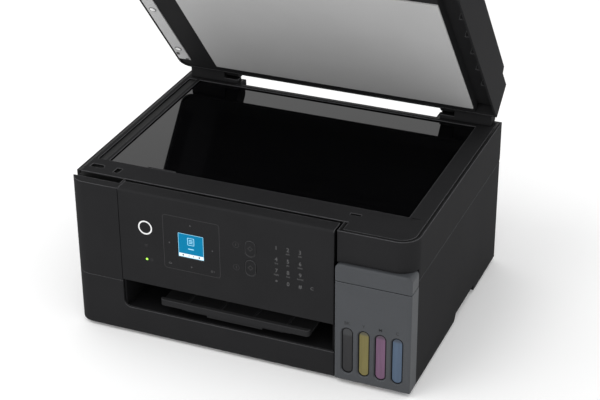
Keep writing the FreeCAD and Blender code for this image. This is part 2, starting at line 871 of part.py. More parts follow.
def obround_window(body, kind, plane, radius, low, high):
    """The outline of the first ink window, at a given half width."""
    x = tank_left + s.window_inset
    z_low = bottom + s.window_rise + s.window_width / 2
    z_high = bottom + s.window_rise + s.window_height - s.window_width / 2
    return extrude(body, kind, plane, low, high, draw_obround, (x, z_low), (x, z_high), radius)


# Ink tanks and their hinged caps

TANK_INKS = ("black", "yellow", "magenta", "cyan")


def tank_middle(number):
    return tank_left + s.window_inset + s.window_pitch * number


def make_ink_tank(number, ink):
    """A tall tank with a sight window, a stepped top, a filler neck and ears for its cap."""
    body = new_body(f"ink_tank_{ink}")
    tank_front = cover_front + s.cover_wall + s.clearance
    tank_top = bottom + s.tank_rise
    half = s.tank_width / 2
    polygon(body, "Pad", "YZ_Plane", -half, half, [
        (tank_front, floor), (tank_front + s.tank_depth, floor),
        (tank_front + s.tank_depth, tank_top - s.tank_step),
        (tank_front + s.tank_depth * 0.55, tank_top), (tank_front, tank_top)])
    z_low = bottom + s.window_rise + s.window_width / 2
    z_high = bottom + s.window_rise + s.window_height - s.window_width / 2
    extrude(body, "Pad", "XZ_Plane", cover_front + s.window_recess, tank_front, draw_obround,
            (0, z_low), (0, z_high), s.window_width / 2 - s.clearance)
    neck_y = front + s.neck_back
    neck_top = tank_top + s.neck_height
    bar(body, "Additive", "Z", (0, neck_y), s.neck_radius, (tank_top, neck_top))
    bar(body, "Subtractive", "Z", (0, neck_y), s.filler_radius, (neck_top - s.filler_depth, neck_top))
    pivot_y, pivot_z = cap_pivot()
    inner = s.cap_width / 2 + s.clearance
    ear_reach = s.cap_thickness
    for low, high in ((-inner - s.cap_ear, -inner), (inner, inner + s.cap_ear)):
        block(body, "Additive", (low, high), (pivot_y - ear_reach, pivot_y + ear_reach), (tank_top, pivot_z))
        bar(body, "Additive", "X", (pivot_y, pivot_z), ear_reach, (low, high))
    bar(body, "Additive", "X", (pivot_y, pivot_z), s.cap_pin_radius, (-inner, inner))
    place(body, tank_middle(number))
    return body


def cap_pivot():
    return front + s.neck_back + s.cap_pivot_back, bottom + s.tank_rise + s.neck_height + s.cap_thickness / 2


def make_tank_cap(number, ink):
    """A flap with a rounded nose, drilled for the pin between the tank's ears."""
    body = new_body(f"tank_cap_{ink}")
    pivot_y, pivot_z = cap_pivot()
    half = s.cap_width / 2
    low = pivot_z - s.cap_thickness / 2 + s.clearance
    high = low + s.cap_thickness
    nose = pivot_y - s.cap_length
    polygon(body, "Pad", "XY_Plane", low, high, [
        (-half, nose, s.cap_thickness), (half, nose, s.cap_thickness), (half, pivot_y), (-half, pivot_y)])
    bar(body, "Additive", "X", (pivot_y, pivot_z), s.cap_thickness - s.clearance * 2, (-half, half))
    bar(body, "Subtractive", "X", (pivot_y, pivot_z), s.cap_pin_radius + s.running_fit, (-half, half))
    place(body, tank_middle(number))
    return body


# Control panel

def make_control_panel():
    body = new_body("control_panel")
    low_x, high_x = panel_left + s.clearance, panel_right
    polygon(body, "Pad", "XZ_Plane", front, panel_back, rectangle((low_x, high_x), (panel_bottom, panel_top)))
    polygon(body, "Pocket", "XZ_Plane", front + s.wall, panel_back, rectangle(
        (low_x + s.wall, high_x - s.wall), (panel_bottom + s.wall, panel_top - s.wall)))
    round_edges(body, "YZ", [(front, panel_top)], s.panel_radius)
    # Ribs that hang on the stub pins of the inner frame
    bore = s.panel_pin_radius + s.running_fit
    for middle in panel_arms():
        for side in (-1, 1):
            near = middle + (s.panel_arm_width / 2 + s.clearance) * side
            far = middle + (s.panel_arm_width / 2 + s.clearance + s.panel_rib) * side
            ends = (near, far) if side == 1 else (far, near)
            block(body, "Additive", ends, (front + s.wall, panel_axis_y + s.panel_arm_radius),
                  (panel_axis_z - s.panel_axis_drop, panel_top - s.wall))
            bar(body, "Subtractive", "X", (panel_axis_y, panel_axis_z), bore, ends)
    # Display window, power button hole and the two start key holes
    x, z = lcd_limits(s.clearance / 2)
    polygon(body, "Pocket", "XZ_Plane", front, front + s.wall, rectangle(x, z))
    bar(body, "Subtractive", "Y", button_centre(), s.button_radius + s.clearance, (front, front + s.wall))
    for rise in (s.key_low_rise, s.key_high_rise):
        low, high = key_centres(rise)
        extrude(body, "Pocket", "XZ_Plane", front, front + s.wall, draw_obround, low, high,
                s.key_width / 2 + s.clearance)
    return body


def lcd_limits(margin):
    x = panel_left + s.lcd_left
    z = panel_bottom + s.lcd_rise
    return (x - margin, x + s.lcd_width + margin), (z - margin, z + s.lcd_height + margin)


def button_centre():
    return panel_left + s.button_left, panel_bottom + s.button_rise


def key_centres(rise):
    """Centres of the half circles of a start key."""
    x = panel_left + s.key_left
    z = panel_bottom + rise
    reach = (s.key_height - s.key_width) / 2
    return (x, z - reach), (x, z + reach)


def make_lcd_module():
    body = new_body("lcd_module")
    x, z = lcd_limits(0)
    polygon(body, "Pad", "XZ_Plane", front + s.clearance, front + s.wall, rectangle(x, z))
    x, z = lcd_limits(s.wall)
    polygon(body, "Pad", "XZ_Plane", front + s.wall, front + s.lcd_depth, rectangle(x, z))
    return body


def make_power_button():
    """A round key with a raised ring, held behind the panel by its flange."""
    body = new_body("power_button")
    centre = button_centre()
    face = front - s.button_proud
    bar(body, "Additive", "Y", centre, s.button_radius, (face, front + s.button_depth))
    inside = front + s.wall + s.clearance
    bar(body, "Additive", "Y", centre, s.button_radius + s.flange, (inside, inside + s.flange))
    bar(body, "Subtractive", "Y", centre, s.button_radius - s.flange, (face, face + s.button_proud / 2))
    return body


def make_start_key(label, rise):
    body = new_body(label)
    low, high = key_centres(rise)
    inside = front + s.wall + s.clearance
    extrude(body, "Pad", "XZ_Plane", front - s.button_proud / 2, front + s.button_depth, draw_obround,
            low, high, s.key_width / 2)
    extrude(body, "Pad", "XZ_Plane", inside, inside + s.flange, draw_obround, low, high,
            s.key_width / 2 + s.flange)
    return body


# Output tray

def extension_limits(margin):
    return tray_left + s.extension_margin + margin, tray_right - s.extension_margin - margin


def make_output_tray():
    body = new_body("output_tray")
    polygon(body, "Pad", "XY_Plane", tray_low, tray_low + s.tray_lip, [
        (tray_left, front, s.tray_radius), (tray_right, front, s.tray_radius),
        (tray_right, front + s.tray_lip_depth), (tray_left, front + s.tray_lip_depth)])
    plate_top = tray_low + s.tray_plate
    block(body, "Additive", (tray_left, tray_right), (front + s.tray_lip_depth, tray_back),
          (tray_low, plate_top))
    rib = block(body, "Additive", (tray_left + s.extension_margin, tray_left + s.extension_margin + s.wall),
                (front + s.tray_lip_depth, tray_back), (plate_top, plate_top + s.tray_rib))
    row_of(body, [rib], "X", s.tray_width - s.extension_margin * 2 - s.wall, 4)
    # Runners under the plate that hold the extension
    runner_z = tray_low - s.extension_plate - s.clearance * 2
    y = (front + s.tray_lip_depth, tray_back)
    outer_left, outer_right = extension_limits(-s.extension_runner)
    inner_left, inner_right = extension_limits(0)
    for outer, inner, flange in ((outer_left, inner_left, inner_left + s.extension_grip),
                                 (outer_right, inner_right, inner_right - s.extension_grip)):
        web = (outer, inner) if outer.value < inner.value else (inner, outer)
        ledge = (outer, flange) if outer.value < flange.value else (flange, outer)
        block(body, "Additive", web, y, (runner_z, tray_low))
        block(body, "Additive", ledge, y, (runner_z - s.rail_thickness, runner_z))
    return body


def make_tray_extension():
    body = new_body("tray_extension")
    high = tray_low - s.clearance
    low = high - s.extension_plate
    x = extension_limits(s.clearance)
    y_front = front + s.extension_lip
    polygon(body, "Pad", "XY_Plane", low, high, [
        (x[0], y_front, s.tray_radius), (x[1], y_front, s.tray_radius),
        (x[1], y_front + s.extension_length), (x[0], y_front + s.extension_length)])
    # Finger edge at the front
    block(body, "Additive", (x[0] + s.extension_margin, x[1] - s.extension_margin),
          (y_front, y_front + s.extension_lip), (low - s.extension_lip, low))
    return body


# Print mechanism

def make_mech_frame():
    """Sheet metal frame: back plate, two side plates with bearing holes, and the carriage end plate."""
    body = new_body("mech_frame")
    back = (s.mech_back - s.sheet_metal, s.mech_back)
    block(body, "Additive", (plate_left, mech_end), back, (floor, bottom + s.mech_height))
    path = feeder_half - s.feeder_side
    block(body, "Subtractive", (-path, plate_right - s.wall), back,
          (paper_z - s.wall, pinch_z + s.pinch_radius))
    front_edge = s.exit_y - s.pick_radius
    notch_low = paper_z - s.clearance
    reach = s.axle_radius * 3
    low_profile = [
        (front_edge, floor), (s.mech_back - s.sheet_metal, floor),
        (s.mech_back - s.sheet_metal, pinch_z + reach), (s.feed_y - reach * 1.6, pinch_z + reach),
        (s.feed_y - reach * 1.6, notch_low), (s.exit_y + reach * 1.6, notch_low),
        (s.exit_y + reach * 1.6, star_z + reach), (front_edge, star_z + reach)]
    tall_profile = low_profile[:2] + [
        (s.mech_back - s.sheet_metal, shaft_z + s.arm_height / 2),
        (s.shaft_y - s.arm_height / 2, shaft_z + s.arm_height / 2),
        (s.feed_y - reach * 1.6, pinch_z + reach)] + low_profile[4:]
    left_ends = (plate_left, plate_left + s.sheet_metal)
    right_ends = (plate_right, plate_right + s.sheet_metal)
    polygon(body, "Pad", "YZ_Plane", *left_ends, tall_profile)
    polygon(body, "Pad", "YZ_Plane", *right_ends, low_profile)
    end_ends = (mech_end - s.sheet_metal, mech_end)
    block(body, "Additive", end_ends, (s.shaft_y - s.arm_height / 2, s.mech_back - s.sheet_metal),
          (shaft_z - s.arm_height / 2, shaft_z + s.arm_height / 2))
    for ends in (left_ends, right_ends):
        for y, z, radius in ((s.feed_y, feed_z, s.journal_radius), (s.exit_y, exit_z, s.exit_core),
                             (s.feed_y, pinch_z, s.axle_radius), (s.exit_y, star_z, s.axle_radius)):
            bar(body, "Subtractive", "X", (y, z), radius + s.running_fit, ends)
    for ends in (left_ends, end_ends):
        bar(body, "Subtractive", "X", (s.shaft_y, shaft_z), s.shaft_radius + s.running_fit, ends)
    # Stub axle for the idler pulley and a hole for the motor's shaft
    motor_x, idler_x = pulley_places()
    bar(body, "Additive", "Y", (idler_x, belt_z), s.axle_radius,
        (s.mech_back - s.sheet_metal - s.belt_width - s.clearance * 2, s.mech_back - s.sheet_metal))
    bar(body, "Subtractive", "Y", (motor_x, belt_z), s.axle_radius + s.clearance, back)
    return body


def pulley_places():
    return plate_left + s.sheet_metal + s.pulley_inset, mech_end - s.pulley_inset


def make_carriage_shaft():
    body = new_body("carriage_shaft")
    bar(body, "Additive", "X", (s.shaft_y, shaft_z), s.shaft_radius,
        (plate_left - s.sheet_metal, mech_end + s.sheet_metal))
    return body


def make_platen():
    body = new_body("platen")
    x = (plate_left + s.sheet_metal, plate_right)
    y = (s.exit_y + s.exit_radius + s.platen_margin, s.feed_y - s.feed_radius - s.platen_margin)
    high = paper_z
    low = high - s.platen_rib
    block(body, "Additive", x, y, (low - s.platen_plate, low))
    rib = block(body, "Additive", (x[0] + s.platen_margin, x[0] + s.platen_margin + s.wall), y, (low, high))
    row_of(body, [rib], "X", x[1] - x[0] - s.platen_margin * 2 - s.wall, 12)
    return body


def carriage_limits():
    high = mech_end - s.sheet_metal - s.carriage_park
    return high - s.carriage_width, high


def make_carriage():
    """Carriage with the print head below and a bush on the shaft behind."""
    body = new_body("carriage")
    x = carriage_limits()
    head_low = paper_z + s.head_gap
    head_back = s.feed_y - s.pinch_radius * 4
    head_front = head_back - s.carriage_depth
    arm = (shaft_z - s.arm_height / 2, shaft_z + s.arm_height / 2)
    arm_back = s.shaft_y + s.arm_height / 2 - s.clearance * 4
    polygon(body, "Pad", "YZ_Plane", *x, [
        (head_front, head_low + s.head_height), (head_back, head_low + s.head_height), (head_back, arm[0]),
        (arm_back, arm[0]), (arm_back, arm[1]), (head_back, arm[1]),
        (head_back, head_low + s.carriage_height),
        (head_front + s.head_height, head_low + s.carriage_height),
        (head_front, head_low + s.carriage_height - s.head_height)])
    inset = s.head_height / 2
    block(body, "Additive", (x[0] + inset, x[1] - inset), (head_front + inset, head_back - inset),
          (head_low, head_low + s.head_height))
    bar(body, "Subtractive", "X", (s.shaft_y, shaft_z), s.shaft_radius + s.running_fit, x)
    return body


def make_carriage_belt():
    """Flat toothed belt round both pulleys, shown as a smooth band."""
    body = new_body("carriage_belt")
    motor_x, idler_x = pulley_places()
    y_high = s.mech_back - s.sheet_metal - s.clearance
    y_low = y_high - s.belt_width
    inner = s.pulley_radius + s.clearance
    for kind, radius in (("Additive", inner + s.belt_thickness), ("Subtractive", inner)):
        block(body, kind, (motor_x, idler_x), (y_low, y_high), (belt_z - radius, belt_z + radius))
        for x in (motor_x, idler_x):
            bar(body, kind, "Y", (x, belt_z), radius, (y_low, y_high))
    return body


def make_pulley(label, x, bore):
    """A belt pulley about an axis along Y."""
    body = new_body(label)
    y_high = s.mech_back - s.sheet_metal - s.clearance
    y_low = y_high - s.belt_width
    bar(body, "Additive", "Y", (x, belt_z), s.pulley_radius, (y_low, y_high))
    bar(body, "Subtractive", "Y", (x, belt_z), bore, (y_low, y_high))
    return body


def make_drive_motors():
    """The carriage motor behind the back plate, with its shaft, and the feed motor beside the tray."""
    motor_x = pulley_places()[0]
    carriage_motor = new_body("carriage_motor")
    bar(carriage_motor, "Additive", "Y", (motor_x, belt_z), s.motor_radius,
        (s.mech_back, s.mech_back + s.motor_length))
    bar(carriage_motor, "Additive", "Y", (motor_x, belt_z), s.axle_radius,
        (s.mech_back - s.sheet_metal - s.belt_width - s.clearance, s.mech_back))
    feed_motor = new_body("feed_motor")
    bar(feed_motor, "Additive", "X", (s.feed_y - s.motor_radius * 2, floor + s.motor_radius), s.motor_radius,
        (plate_left + s.sheet_metal, plate_left + s.sheet_metal + s.motor_length))
    return group("drive_motors", [carriage_motor, feed_motor])


def spindle(label, y, z, steps):
    body = turned(label, steps)
    place(body, 0, y, z)
    return body


def tyres(low, high, count, width, core, radius):
    """Steps of a shaft with evenly spaced tyres."""
    gap = (high - low - width * count) / (count + 1)
    steps = []
    x = low
    for _ in range(count):
        steps.append((x, x + gap, core))
        steps.append((x + gap, x + gap + width, radius))
        x = x + gap + width
    steps.append((x, high, core))
    return steps


def make_feed_roller():
    """Full-width paper feed roller with journals and a toothed drive wheel outside the left plate."""
    inner_left = plate_left + s.sheet_metal + s.clearance
    inner_right = plate_right - s.clearance
    gear_right = plate_left - s.clearance
    gear_left = gear_right - s.feed_gear_width
    body = spindle("feed_roller", s.feed_y, feed_z, [
        (gear_left, gear_right, s.feed_gear_radius), (gear_right, inner_left, s.journal_radius),
        (inner_left, inner_right, s.feed_radius),
        (inner_right, plate_right + s.sheet_metal, s.journal_radius)])
    tooth = block(body, "Additive", (gear_left, gear_right), (-s.tooth_width / 2, s.tooth_width / 2),
                  (s.feed_gear_radius - s.tooth_height, s.feed_gear_radius + s.tooth_height))
    wheel = body.newObject("PartDesign::PolarPattern", "Teeth")
    wheel.Originals = [tooth]
    wheel.Axis = (origin_plane(body, "X_Axis"), [""])
    wheel.Angle = 360
    bind(wheel, "Occurrences", s.feed_gear_teeth)
    body.Tip = wheel
    doc.recompute()
    return body


def make_roller(label, y, z, axle, core, count, width, radius):
    """A roller between the side plates with axle ends in their holes."""
    inner_left = plate_left + s.sheet_metal + s.clearance
    inner_right = plate_right - s.clearance
    steps = [(plate_left, inner_left, axle)]
    steps += tyres(inner_left, inner_right, count, width, core, radius)
    steps.append((inner_right, plate_right + s.sheet_metal, axle))
    return spindle(label, y, z, steps)


def make_cap_station():
    """Tub that seals the parked print head, with a raised rim."""
    body = new_body("cap_station")
    x_low = plate_right + s.sheet_metal + s.wall
    x = (x_low, x_low + s.cap_station_width)
    y_high = s.feed_y - s.pinch_radius * 4
    y = (y_high - s.cap_station_depth, y_high)
    high = paper_z + s.head_gap - s.cap_station_gap
    block(body, "Additive", x, y, (floor, high))
    block(body, "Subtractive", (x[0] + s.wall, x[1] - s.wall), (y[0] + s.wall, y[1] - s.wall),
          (high - s.head_height, high))
    return body


# Electronics

def make_main_board():
    body = new_body("main_board")
    y = rear - s.board_back
    block(body, "Additive", (board_left, board_left + s.board_width), (y - s.board_thickness, y),
          (floor, floor + s.board_height))
    return body


def make_interface_ports():
    """Three open metal-shelled sockets in a row on the main board."""
    ports = []
    y = (rear - s.board_back, rear - s.clearance)
    first = board_left + s.wall + s.clearance
    for number in range(3):
        body = new_body("port")
        x = first + s.port_pitch * number
        ends = (x, x + s.port_width)
        block(body, "Additive", ends, y, (port_low, port_low + s.port_height))
        block(body, "Subtractive", (ends[0] + s.port_wall, ends[1] - s.port_wall), (y[0] + s.port_wall, y[1]),
              (port_low + s.port_wall, port_low + s.port_height - s.port_wall))
        ports.append(body)
    return group("interface_ports", ports)


def make_power_supply():
    body = new_body("power_supply")
    y_high = rear - s.inlet_depth
    polygon(body, "Pad", "XZ_Plane", y_high - s.supply_depth, y_high, rectangle(
        (supply_right - s.supply_width, supply_right), (floor, floor + s.supply_height), s.wall))
    return body


def make_ac_inlet():
    """Two-pin mains inlet."""
    body = new_body("ac_inlet")
    y = (rear - s.inlet_depth, rear - s.clearance)
    x = (inlet_left, inlet_left + s.inlet_width)
    z = (inlet_low, inlet_low + s.inlet_height)
    block(body, "Additive", x, y, z)
    inner_y = (y[0] + s.wall, y[1])
    block(body, "Subtractive", (x[0] + s.wall, x[1] - s.wall), inner_y, (z[0] + s.wall, z[1] - s.wall))
    middle_x = (x[0] + x[1]) / 2
    middle_z = (z[0] + z[1]) / 2
    for side in (-1, 1):
        bar(body, "Additive", "Y", (middle_x + s.inlet_pin_pitch * side / 2, middle_z), s.inlet_pin_radius,
            (y[0] + s.wall / 2, y[1] - s.wall))
    return body


# Rear paper feeder: every slanted line leans back by the same angle

lip_z = bottom + s.lip_rise


def slant(offset, z):
    """Y of a line parallel to the feeder's back, a normal distance behind it, at a height."""
    return feeder_back + as_size(offset) / upright - (feeder_top - z) * lean


def slanted_strip(near, far, low, high):
    return [(slant(near, low), low), (slant(near, high), high), (slant(far, high), high),
            (slant(far, low), low)]


def channel_back():
    return -s.feeder_wall


def channel_front():
    return -s.feeder_wall - s.channel_width * upright


def feeder_foot():
    """Height where the feeder's back meets the rear wall."""
    return feeder_top - (feeder_back - rear) / lean


def make_rear_feeder():
    body = new_body("rear_feeder")
    mouth_front = slant(channel_front(), feeder_top)
    polygon(body, "Pad", "YZ_Plane", -feeder_half, feeder_half, [
        (rear, feeder_foot()), (feeder_back, feeder_top), (mouth_front - s.feeder_wall, feeder_top),
        (rear, lip_z)])
    inside = feeder_half - s.feeder_side
    low = feeder_foot() + s.feeder_wall * 2
    polygon(body, "Pocket", "YZ_Plane", -inside, inside, slanted_strip(
        channel_front(), channel_back(), low, feeder_top))
    # Rails on the back that hold the sliding paper support
    half = s.support_width / 2
    outer = half + s.clearance + s.rail_thickness
    rail_out = s.support_plate + s.clearance * 2
    rail_low = feeder_foot() + s.feeder_wall * 2
    for side in (-1, 1):
        web = sorted_ends((half + s.clearance) * side, outer * side)
        grip = sorted_ends((half - s.rail_grip) * side, outer * side)
        polygon(body, "Pad", "YZ_Plane", *web, slanted_strip(-s.clearance, rail_out, rail_low, feeder_top))
        polygon(body, "Pad", "YZ_Plane", *grip, slanted_strip(
            rail_out, rail_out + s.rail_thickness, rail_low, feeder_top))
    # Cheeks that carry the pick roller, reaching through the rear wall
    pick_y, pick_z = pick_centre()
    for side in (-1, 1):
        cheek = sorted_ends(inside * side, (inside + s.cheek) * side)
        block(body, "Additive", cheek, (pick_y - s.cheek_size, rear),
              (pick_z - s.cheek_size, pick_z + s.cheek_size))
        bar(body, "Subtractive", "X", (pick_y, pick_z), s.journal_radius + s.running_fit, cheek)
    # Ears for the guard's pins at both ends of the mouth
    guard_y, guard_z = guard_axis()
    for side in (-1, 1):
        ear = sorted_ends(guard_half() * side + s.clearance * side, feeder_half * side)
        block(body, "Additive", ear, (guard_y - s.guard_plate, guard_y + s.guard_plate),
              (feeder_top, guard_z))
        bar(body, "Additive", "X", (guard_y, guard_z), s.guard_plate, ear)
        pin = sorted_ends((guard_half() - s.feeder_side) * side, feeder_half * side)
        bar(body, "Additive", "X", (guard_y, guard_z), s.guard_pin_radius, pin)
    return body


def sorted_ends(first, second):
    first, second = as_size(first), as_size(second)
    return (first, second) if first.value < second.value else (second, first)


def pick_centre():
    return rear - s.pick_back, bottom + s.pick_rise


def guard_axis():
    y = slant(channel_front(), feeder_top) - s.guard_overlap
    return y, feeder_top + s.guard_plate + s.clearance


def guard_half():
    return feeder_half - s.feeder_side / 2


def make_feeder_guard():
    """Flap over the mouth of the paper channel, with a round hinge edge."""
    body = new_body("feeder_guard")
    y, z = guard_axis()
    half = guard_half()
    far = slant(0, feeder_top)
    polygon(body, "Pad", "XY_Plane", z - s.guard_plate / 2, z + s.guard_plate / 2, [
        (-half, y), (half, y), (half, far, s.tray_radius), (-half, far, s.tray_radius)])
    bar(body, "Additive", "X", (y, z), s.guard_plate, (-half, half))
    for side in (-1, 1):
        hole = sorted_ends(half * side, (half - s.feeder_side - s.clearance) * side)
        bar(body, "Subtractive", "X", (y, z), s.guard_pin_radius + s.running_fit, hole)
    return body


def make_paper_support():
    """Plate that slides up along the feeder's back, with a finger tab at its top."""
    body = new_body("paper_support")
    half = s.support_width / 2
    y = (s.clearance, s.clearance + s.support_plate)
    polygon(body, "Pad", "XZ_Plane", *y, [
        (-half, -s.support_length), (half, -s.support_length), (half, 0), (-half, 0)])
    tab = s.support_width / 6
    polygon(body, "Pad", "XZ_Plane", *y, [
        (-tab, 0), (tab, 0), (tab, s.support_tab, s.support_tab / 2),
        (-tab, s.support_tab, s.support_tab / 2)])
    body.Placement = FreeCAD.Placement(Vector(), Rotation(Vector(1, 0, 0), -s.feeder_lean.value))
    place(body, 0, feeder_back, feeder_top)
    bind(body, "Placement.Rotation.Angle", -s.feeder_lean)
    return body


def make_rear_edge_guide():
    """Upright fence that slides across the paper channel."""
    body = new_body("rear_edge_guide")
    x_high = feeder_half - s.feeder_side - s.guide_inset
    high = feeder_top - s.guard_plate
    low = high - s.guide_length
    polygon(body, "Pad", "YZ_Plane", x_high - s.guide_thickness, x_high, slanted_strip(
        channel_front() + s.clearance, channel_back() - s.clearance, low, high))
    polygon(body, "Pad", "YZ_Plane", x_high, x_high + s.guide_inset / 2, slanted_strip(
        channel_back() - s.clearance - s.guard_plate, channel_back() - s.clearance, low, high))
    return body


def make_pick_roller():
    inside = feeder_half - s.feeder_side
    y, z = pick_centre()
    steps = [(-inside - s.cheek, -inside + s.clearance, s.journal_radius)]
    steps += tyres(-inside + s.clearance, inside - s.clearance, 2, s.pick_tyre, s.journal_radius * 1.5,
                   s.pick_radius)
    steps.append((inside - s.clearance, inside + s.cheek, s.journal_radius))
    return spindle("pick_roller", y, z, steps)


# Scanner unit

def case_outline(inset):
    """Plan of the scanner case: a step for the band over the tanks and two ears at the rear."""
    back = rear - s.back_set_in
    return [
        (left + inset, scanner_front + inset), (band_left + inset, scanner_front + inset),
        (band_left + inset, band_front + inset), (right - inset, band_front + inset, s.band_radius - inset),
        (right - inset, rear - inset), (s.hinge_inner + inset, rear - inset),
        (s.hinge_inner + inset, back - inset), (-s.hinge_inner - inset, back - inset),
        (-s.hinge_inner - inset, rear - inset), (left + inset, rear - inset)]


ledge_z = top - s.frame_thickness
case_floor_low = bottom + s.case_floor_rise


def make_scanner_case():
    body = new_body("scanner_case")
    whole = as_size(0) + s.case_wall
    inner = s.case_wall + s.case_ledge
    polygon(body, "Pad", "XY_Plane", part_line, top, case_outline(as_size(0)))
    polygon(body, "Pocket", "XY_Plane", part_line, case_floor_low, case_outline(whole))
    polygon(body, "Pocket", "XY_Plane", case_floor_low + s.case_floor, ledge_z, case_outline(inner))
    polygon(body, "Pocket", "XY_Plane", ledge_z, top, case_outline(whole))
    # The top frame reaches over the front wall beside the band
    block(body, "Subtractive", (left + s.case_wall, band_left + s.case_wall),
          (scanner_front, scanner_front + s.case_wall), (ledge_z, top))
    # Room for the grey strip under the band
    block(body, "Subtractive", (band_left, right), (band_front, cover_back + s.clearance),
          (part_line, cover_top))
    # Solid rear corners, rounded about the lifting axis, with slots for the housing's ears
    knuckle = s.lift_axis * 2
    for x in ((left, -s.hinge_inner), (s.hinge_inner, right)):
        block(body, "Additive", x, (rear - knuckle, rear), (part_line, part_line + knuckle))
    round_edges(body, "YZ", [(rear, part_line)], s.lift_axis)
    for side in (-1, 1):
        middle = (right - s.ear_inset) * side
        half = s.ear_width / 2 + s.clearance
        gap = (middle - half, middle + half)
        block(body, "Subtractive", gap, (rear - knuckle - s.wall, rear),
              (part_line, part_line + knuckle + s.clearance))
        bar(body, "Additive", "X", (lift_axis_y, lift_axis_z), s.lift_pin_radius, gap)
    return body


def make_scanner_frame():
    """Top frame round the glass, set in a groove inside the case walls."""
    body = new_body("scanner_frame")
    inset = s.case_wall + s.frame_groove
    outline = case_outline(inset)
    outline[0] = (left + inset, scanner_front)
    outline[1] = (band_left + inset, scanner_front)
    polygon(body, "Pad", "XY_Plane", ledge_z, top, outline)
    for x, y in glass_openings():
        block(body, "Subtractive", x, y, (ledge_z, top))
        rebate = s.glass_rebate
        block(body, "Subtractive", (x[0] - rebate, x[1] + rebate), (y[0] - rebate, y[1] + rebate),
              (ledge_z, top - s.glass_drop))
    # Sockets for the lid's hooks along the front edge
    sink = (top - s.hole_sink, top)
    hook_x = left + s.hook_hole_left
    hook_y = scanner_front + s.hook_hole_front
    polygon(body, "Pocket", "XY_Plane", *sink, [
        (hook_x, hook_y), (hook_x + s.hook_hole_width, hook_y, s.hook_hole_depth * 0.45),
        (hook_x + s.hook_hole_width, hook_y + s.hook_hole_depth, s.hook_hole_depth * 0.45),
        (hook_x, hook_y + s.hook_hole_depth)])
    latch_x = left + s.latch_hole_left
    latch_y = scanner_front + s.latch_hole_front
    block(body, "Subtractive", (latch_x, latch_x + s.latch_hole_width),
          (latch_y, latch_y + s.latch_hole_depth), sink)
    clip_y = scanner_front + s.clip_hole_front
    block(body, "Subtractive", (band_left, band_left + s.clip_hole_width),
          (clip_y, clip_y + s.clip_hole_depth), sink)
    return body


def glass_openings():
    """Limits of the main opening and of the narrow one for the document feeder."""
    y = (scanner_front + s.glass_front, scanner_front + s.glass_front + s.glass_depth)
    x = left + s.glass_left
    narrow = left + s.feed_glass_left
    return ((x, x + s.glass_width), y), ((narrow, narrow + s.feed_glass_width), y)


def make_scanner_glass():
    panes = []
    high = top - s.glass_drop
    margin = s.glass_rebate - s.clearance
    for x, y in glass_openings():
        pane = new_body("pane")
        block(pane, "Additive", (x[0] - margin, x[1] + margin), (y[0] - margin, y[1] + margin),
              (high - s.glass_thickness, high))
        panes.append(pane)
    return group("scanner_glass", panes)


def make_tank_top_trim():
    """Grey strip above the tank cover; it lifts with the scanner unit."""
    body = new_body("tank_top_trim")
    low = cover_seam + s.clearance / 2
    polygon(body, "Pad", "XZ_Plane", cover_front, cover_back, [
        (tank_left, low), (right, low), (right, cover_top, s.cover_radius),
        (tank_left, cover_top, s.cover_radius)])
    round_edges(body, "YZ", [(cover_front, cover_top)], s.cover_edge)
    block(body, "Subtractive", (tank_left + s.cover_wall, right - s.cover_wall),
          (cover_front + s.cover_wall, cover_back), (low, cover_top - s.cover_wall))
    return body


def scan_rail_z():
    return case_floor_low + s.case_floor + s.scan_rail_radius * 3


def make_scan_rail():
    body = new_body("scan_rail")
    inner = s.case_wall + s.case_ledge
    bar(body, "Additive", "X", (s.scan_rail_y, scan_rail_z()), s.scan_rail_radius,
        (left + inner, right - inner))
    return body


def make_scan_bar():
    """Contact image sensor bar on its rail, parked under the feeder's glass."""
    body = new_body("scan_bar")
    x_low = left + s.case_wall + s.case_ledge + s.scan_bar_margin
    x = (x_low, x_low + s.scan_bar_width)
    high = top - s.glass_drop - s.glass_thickness - s.scan_bar_gap
    low = scan_rail_z() - s.scan_bar_foot
    step = (low + high) / 2
    y = glass_openings()[0][1]
    margin = s.scan_bar_margin
    polygon(body, "Pad", "YZ_Plane", *x, [
        (y[0] - margin, step), (y[0] - margin, high), (y[1] + margin, high), (y[1] + margin, step),
        (s.scan_rail_y + s.scan_rail_radius * 4, low), (s.scan_rail_y - s.scan_rail_radius * 4, low)])
    bar(body, "Subtractive", "X", (s.scan_rail_y, scan_rail_z()), s.scan_rail_radius + s.running_fit, x)
    return body


def make_hinge_posts():
    """Two posts behind the frame with round heads, pins for the lid's knuckles and steps under them."""
    posts = []
    for side in (-1, 1):
        post = new_body("post")
        ends = sorted_ends(s.post_inner * side, (s.post_inner + s.post_width) * side)
        polygon(post, "Pad", "YZ_Plane", *ends, [
            (lid_axis_y - s.post_radius, top), (lid_axis_y - s.post_radius + s.post_depth, top),
            (lid_axis_y + s.post_radius, lid_axis_z), (lid_axis_y - s.post_radius, lid_axis_z)])
        bar(post, "Additive", "X", (lid_axis_y, lid_axis_z), s.post_radius, ends)
        pin = sorted_ends(s.lid_knuckle_inner * side, s.post_inner * side)
        bar(post, "Additive", "X", (lid_axis_y, lid_axis_z), s.lid_pin_radius, pin)
        block(post, "Additive", pin, (lid_axis_y - s.post_radius, lid_axis_y),
              (top, lid_axis_z - s.lid_knuckle_radius - s.clearance))
        posts.append(post)
    return group("hinge_posts", posts)


# Lid, modelled shut about its hinge axis: X as in the body, Y to the rear, Z up

lid_rear = -s.hinge_back
lid_front = lid_rear - s.lid_depth
lid_under = -s.hinge_rise
lid_top = lid_under + s.lid_height
deck_low = lid_top - s.lid_deck
unit_left = left + s.feeder_unit_left
unit_right = unit_left + s.feeder_unit_width
unit_rear = lid_rear - s.feeder_unit_rear
unit_front = unit_rear - s.feeder_unit_depth
input_left = unit_right + s.tray_gap
input_right = input_left + s.input_tray_width
flap_axis_z = lid_top + s.flap_axis + s.clearance


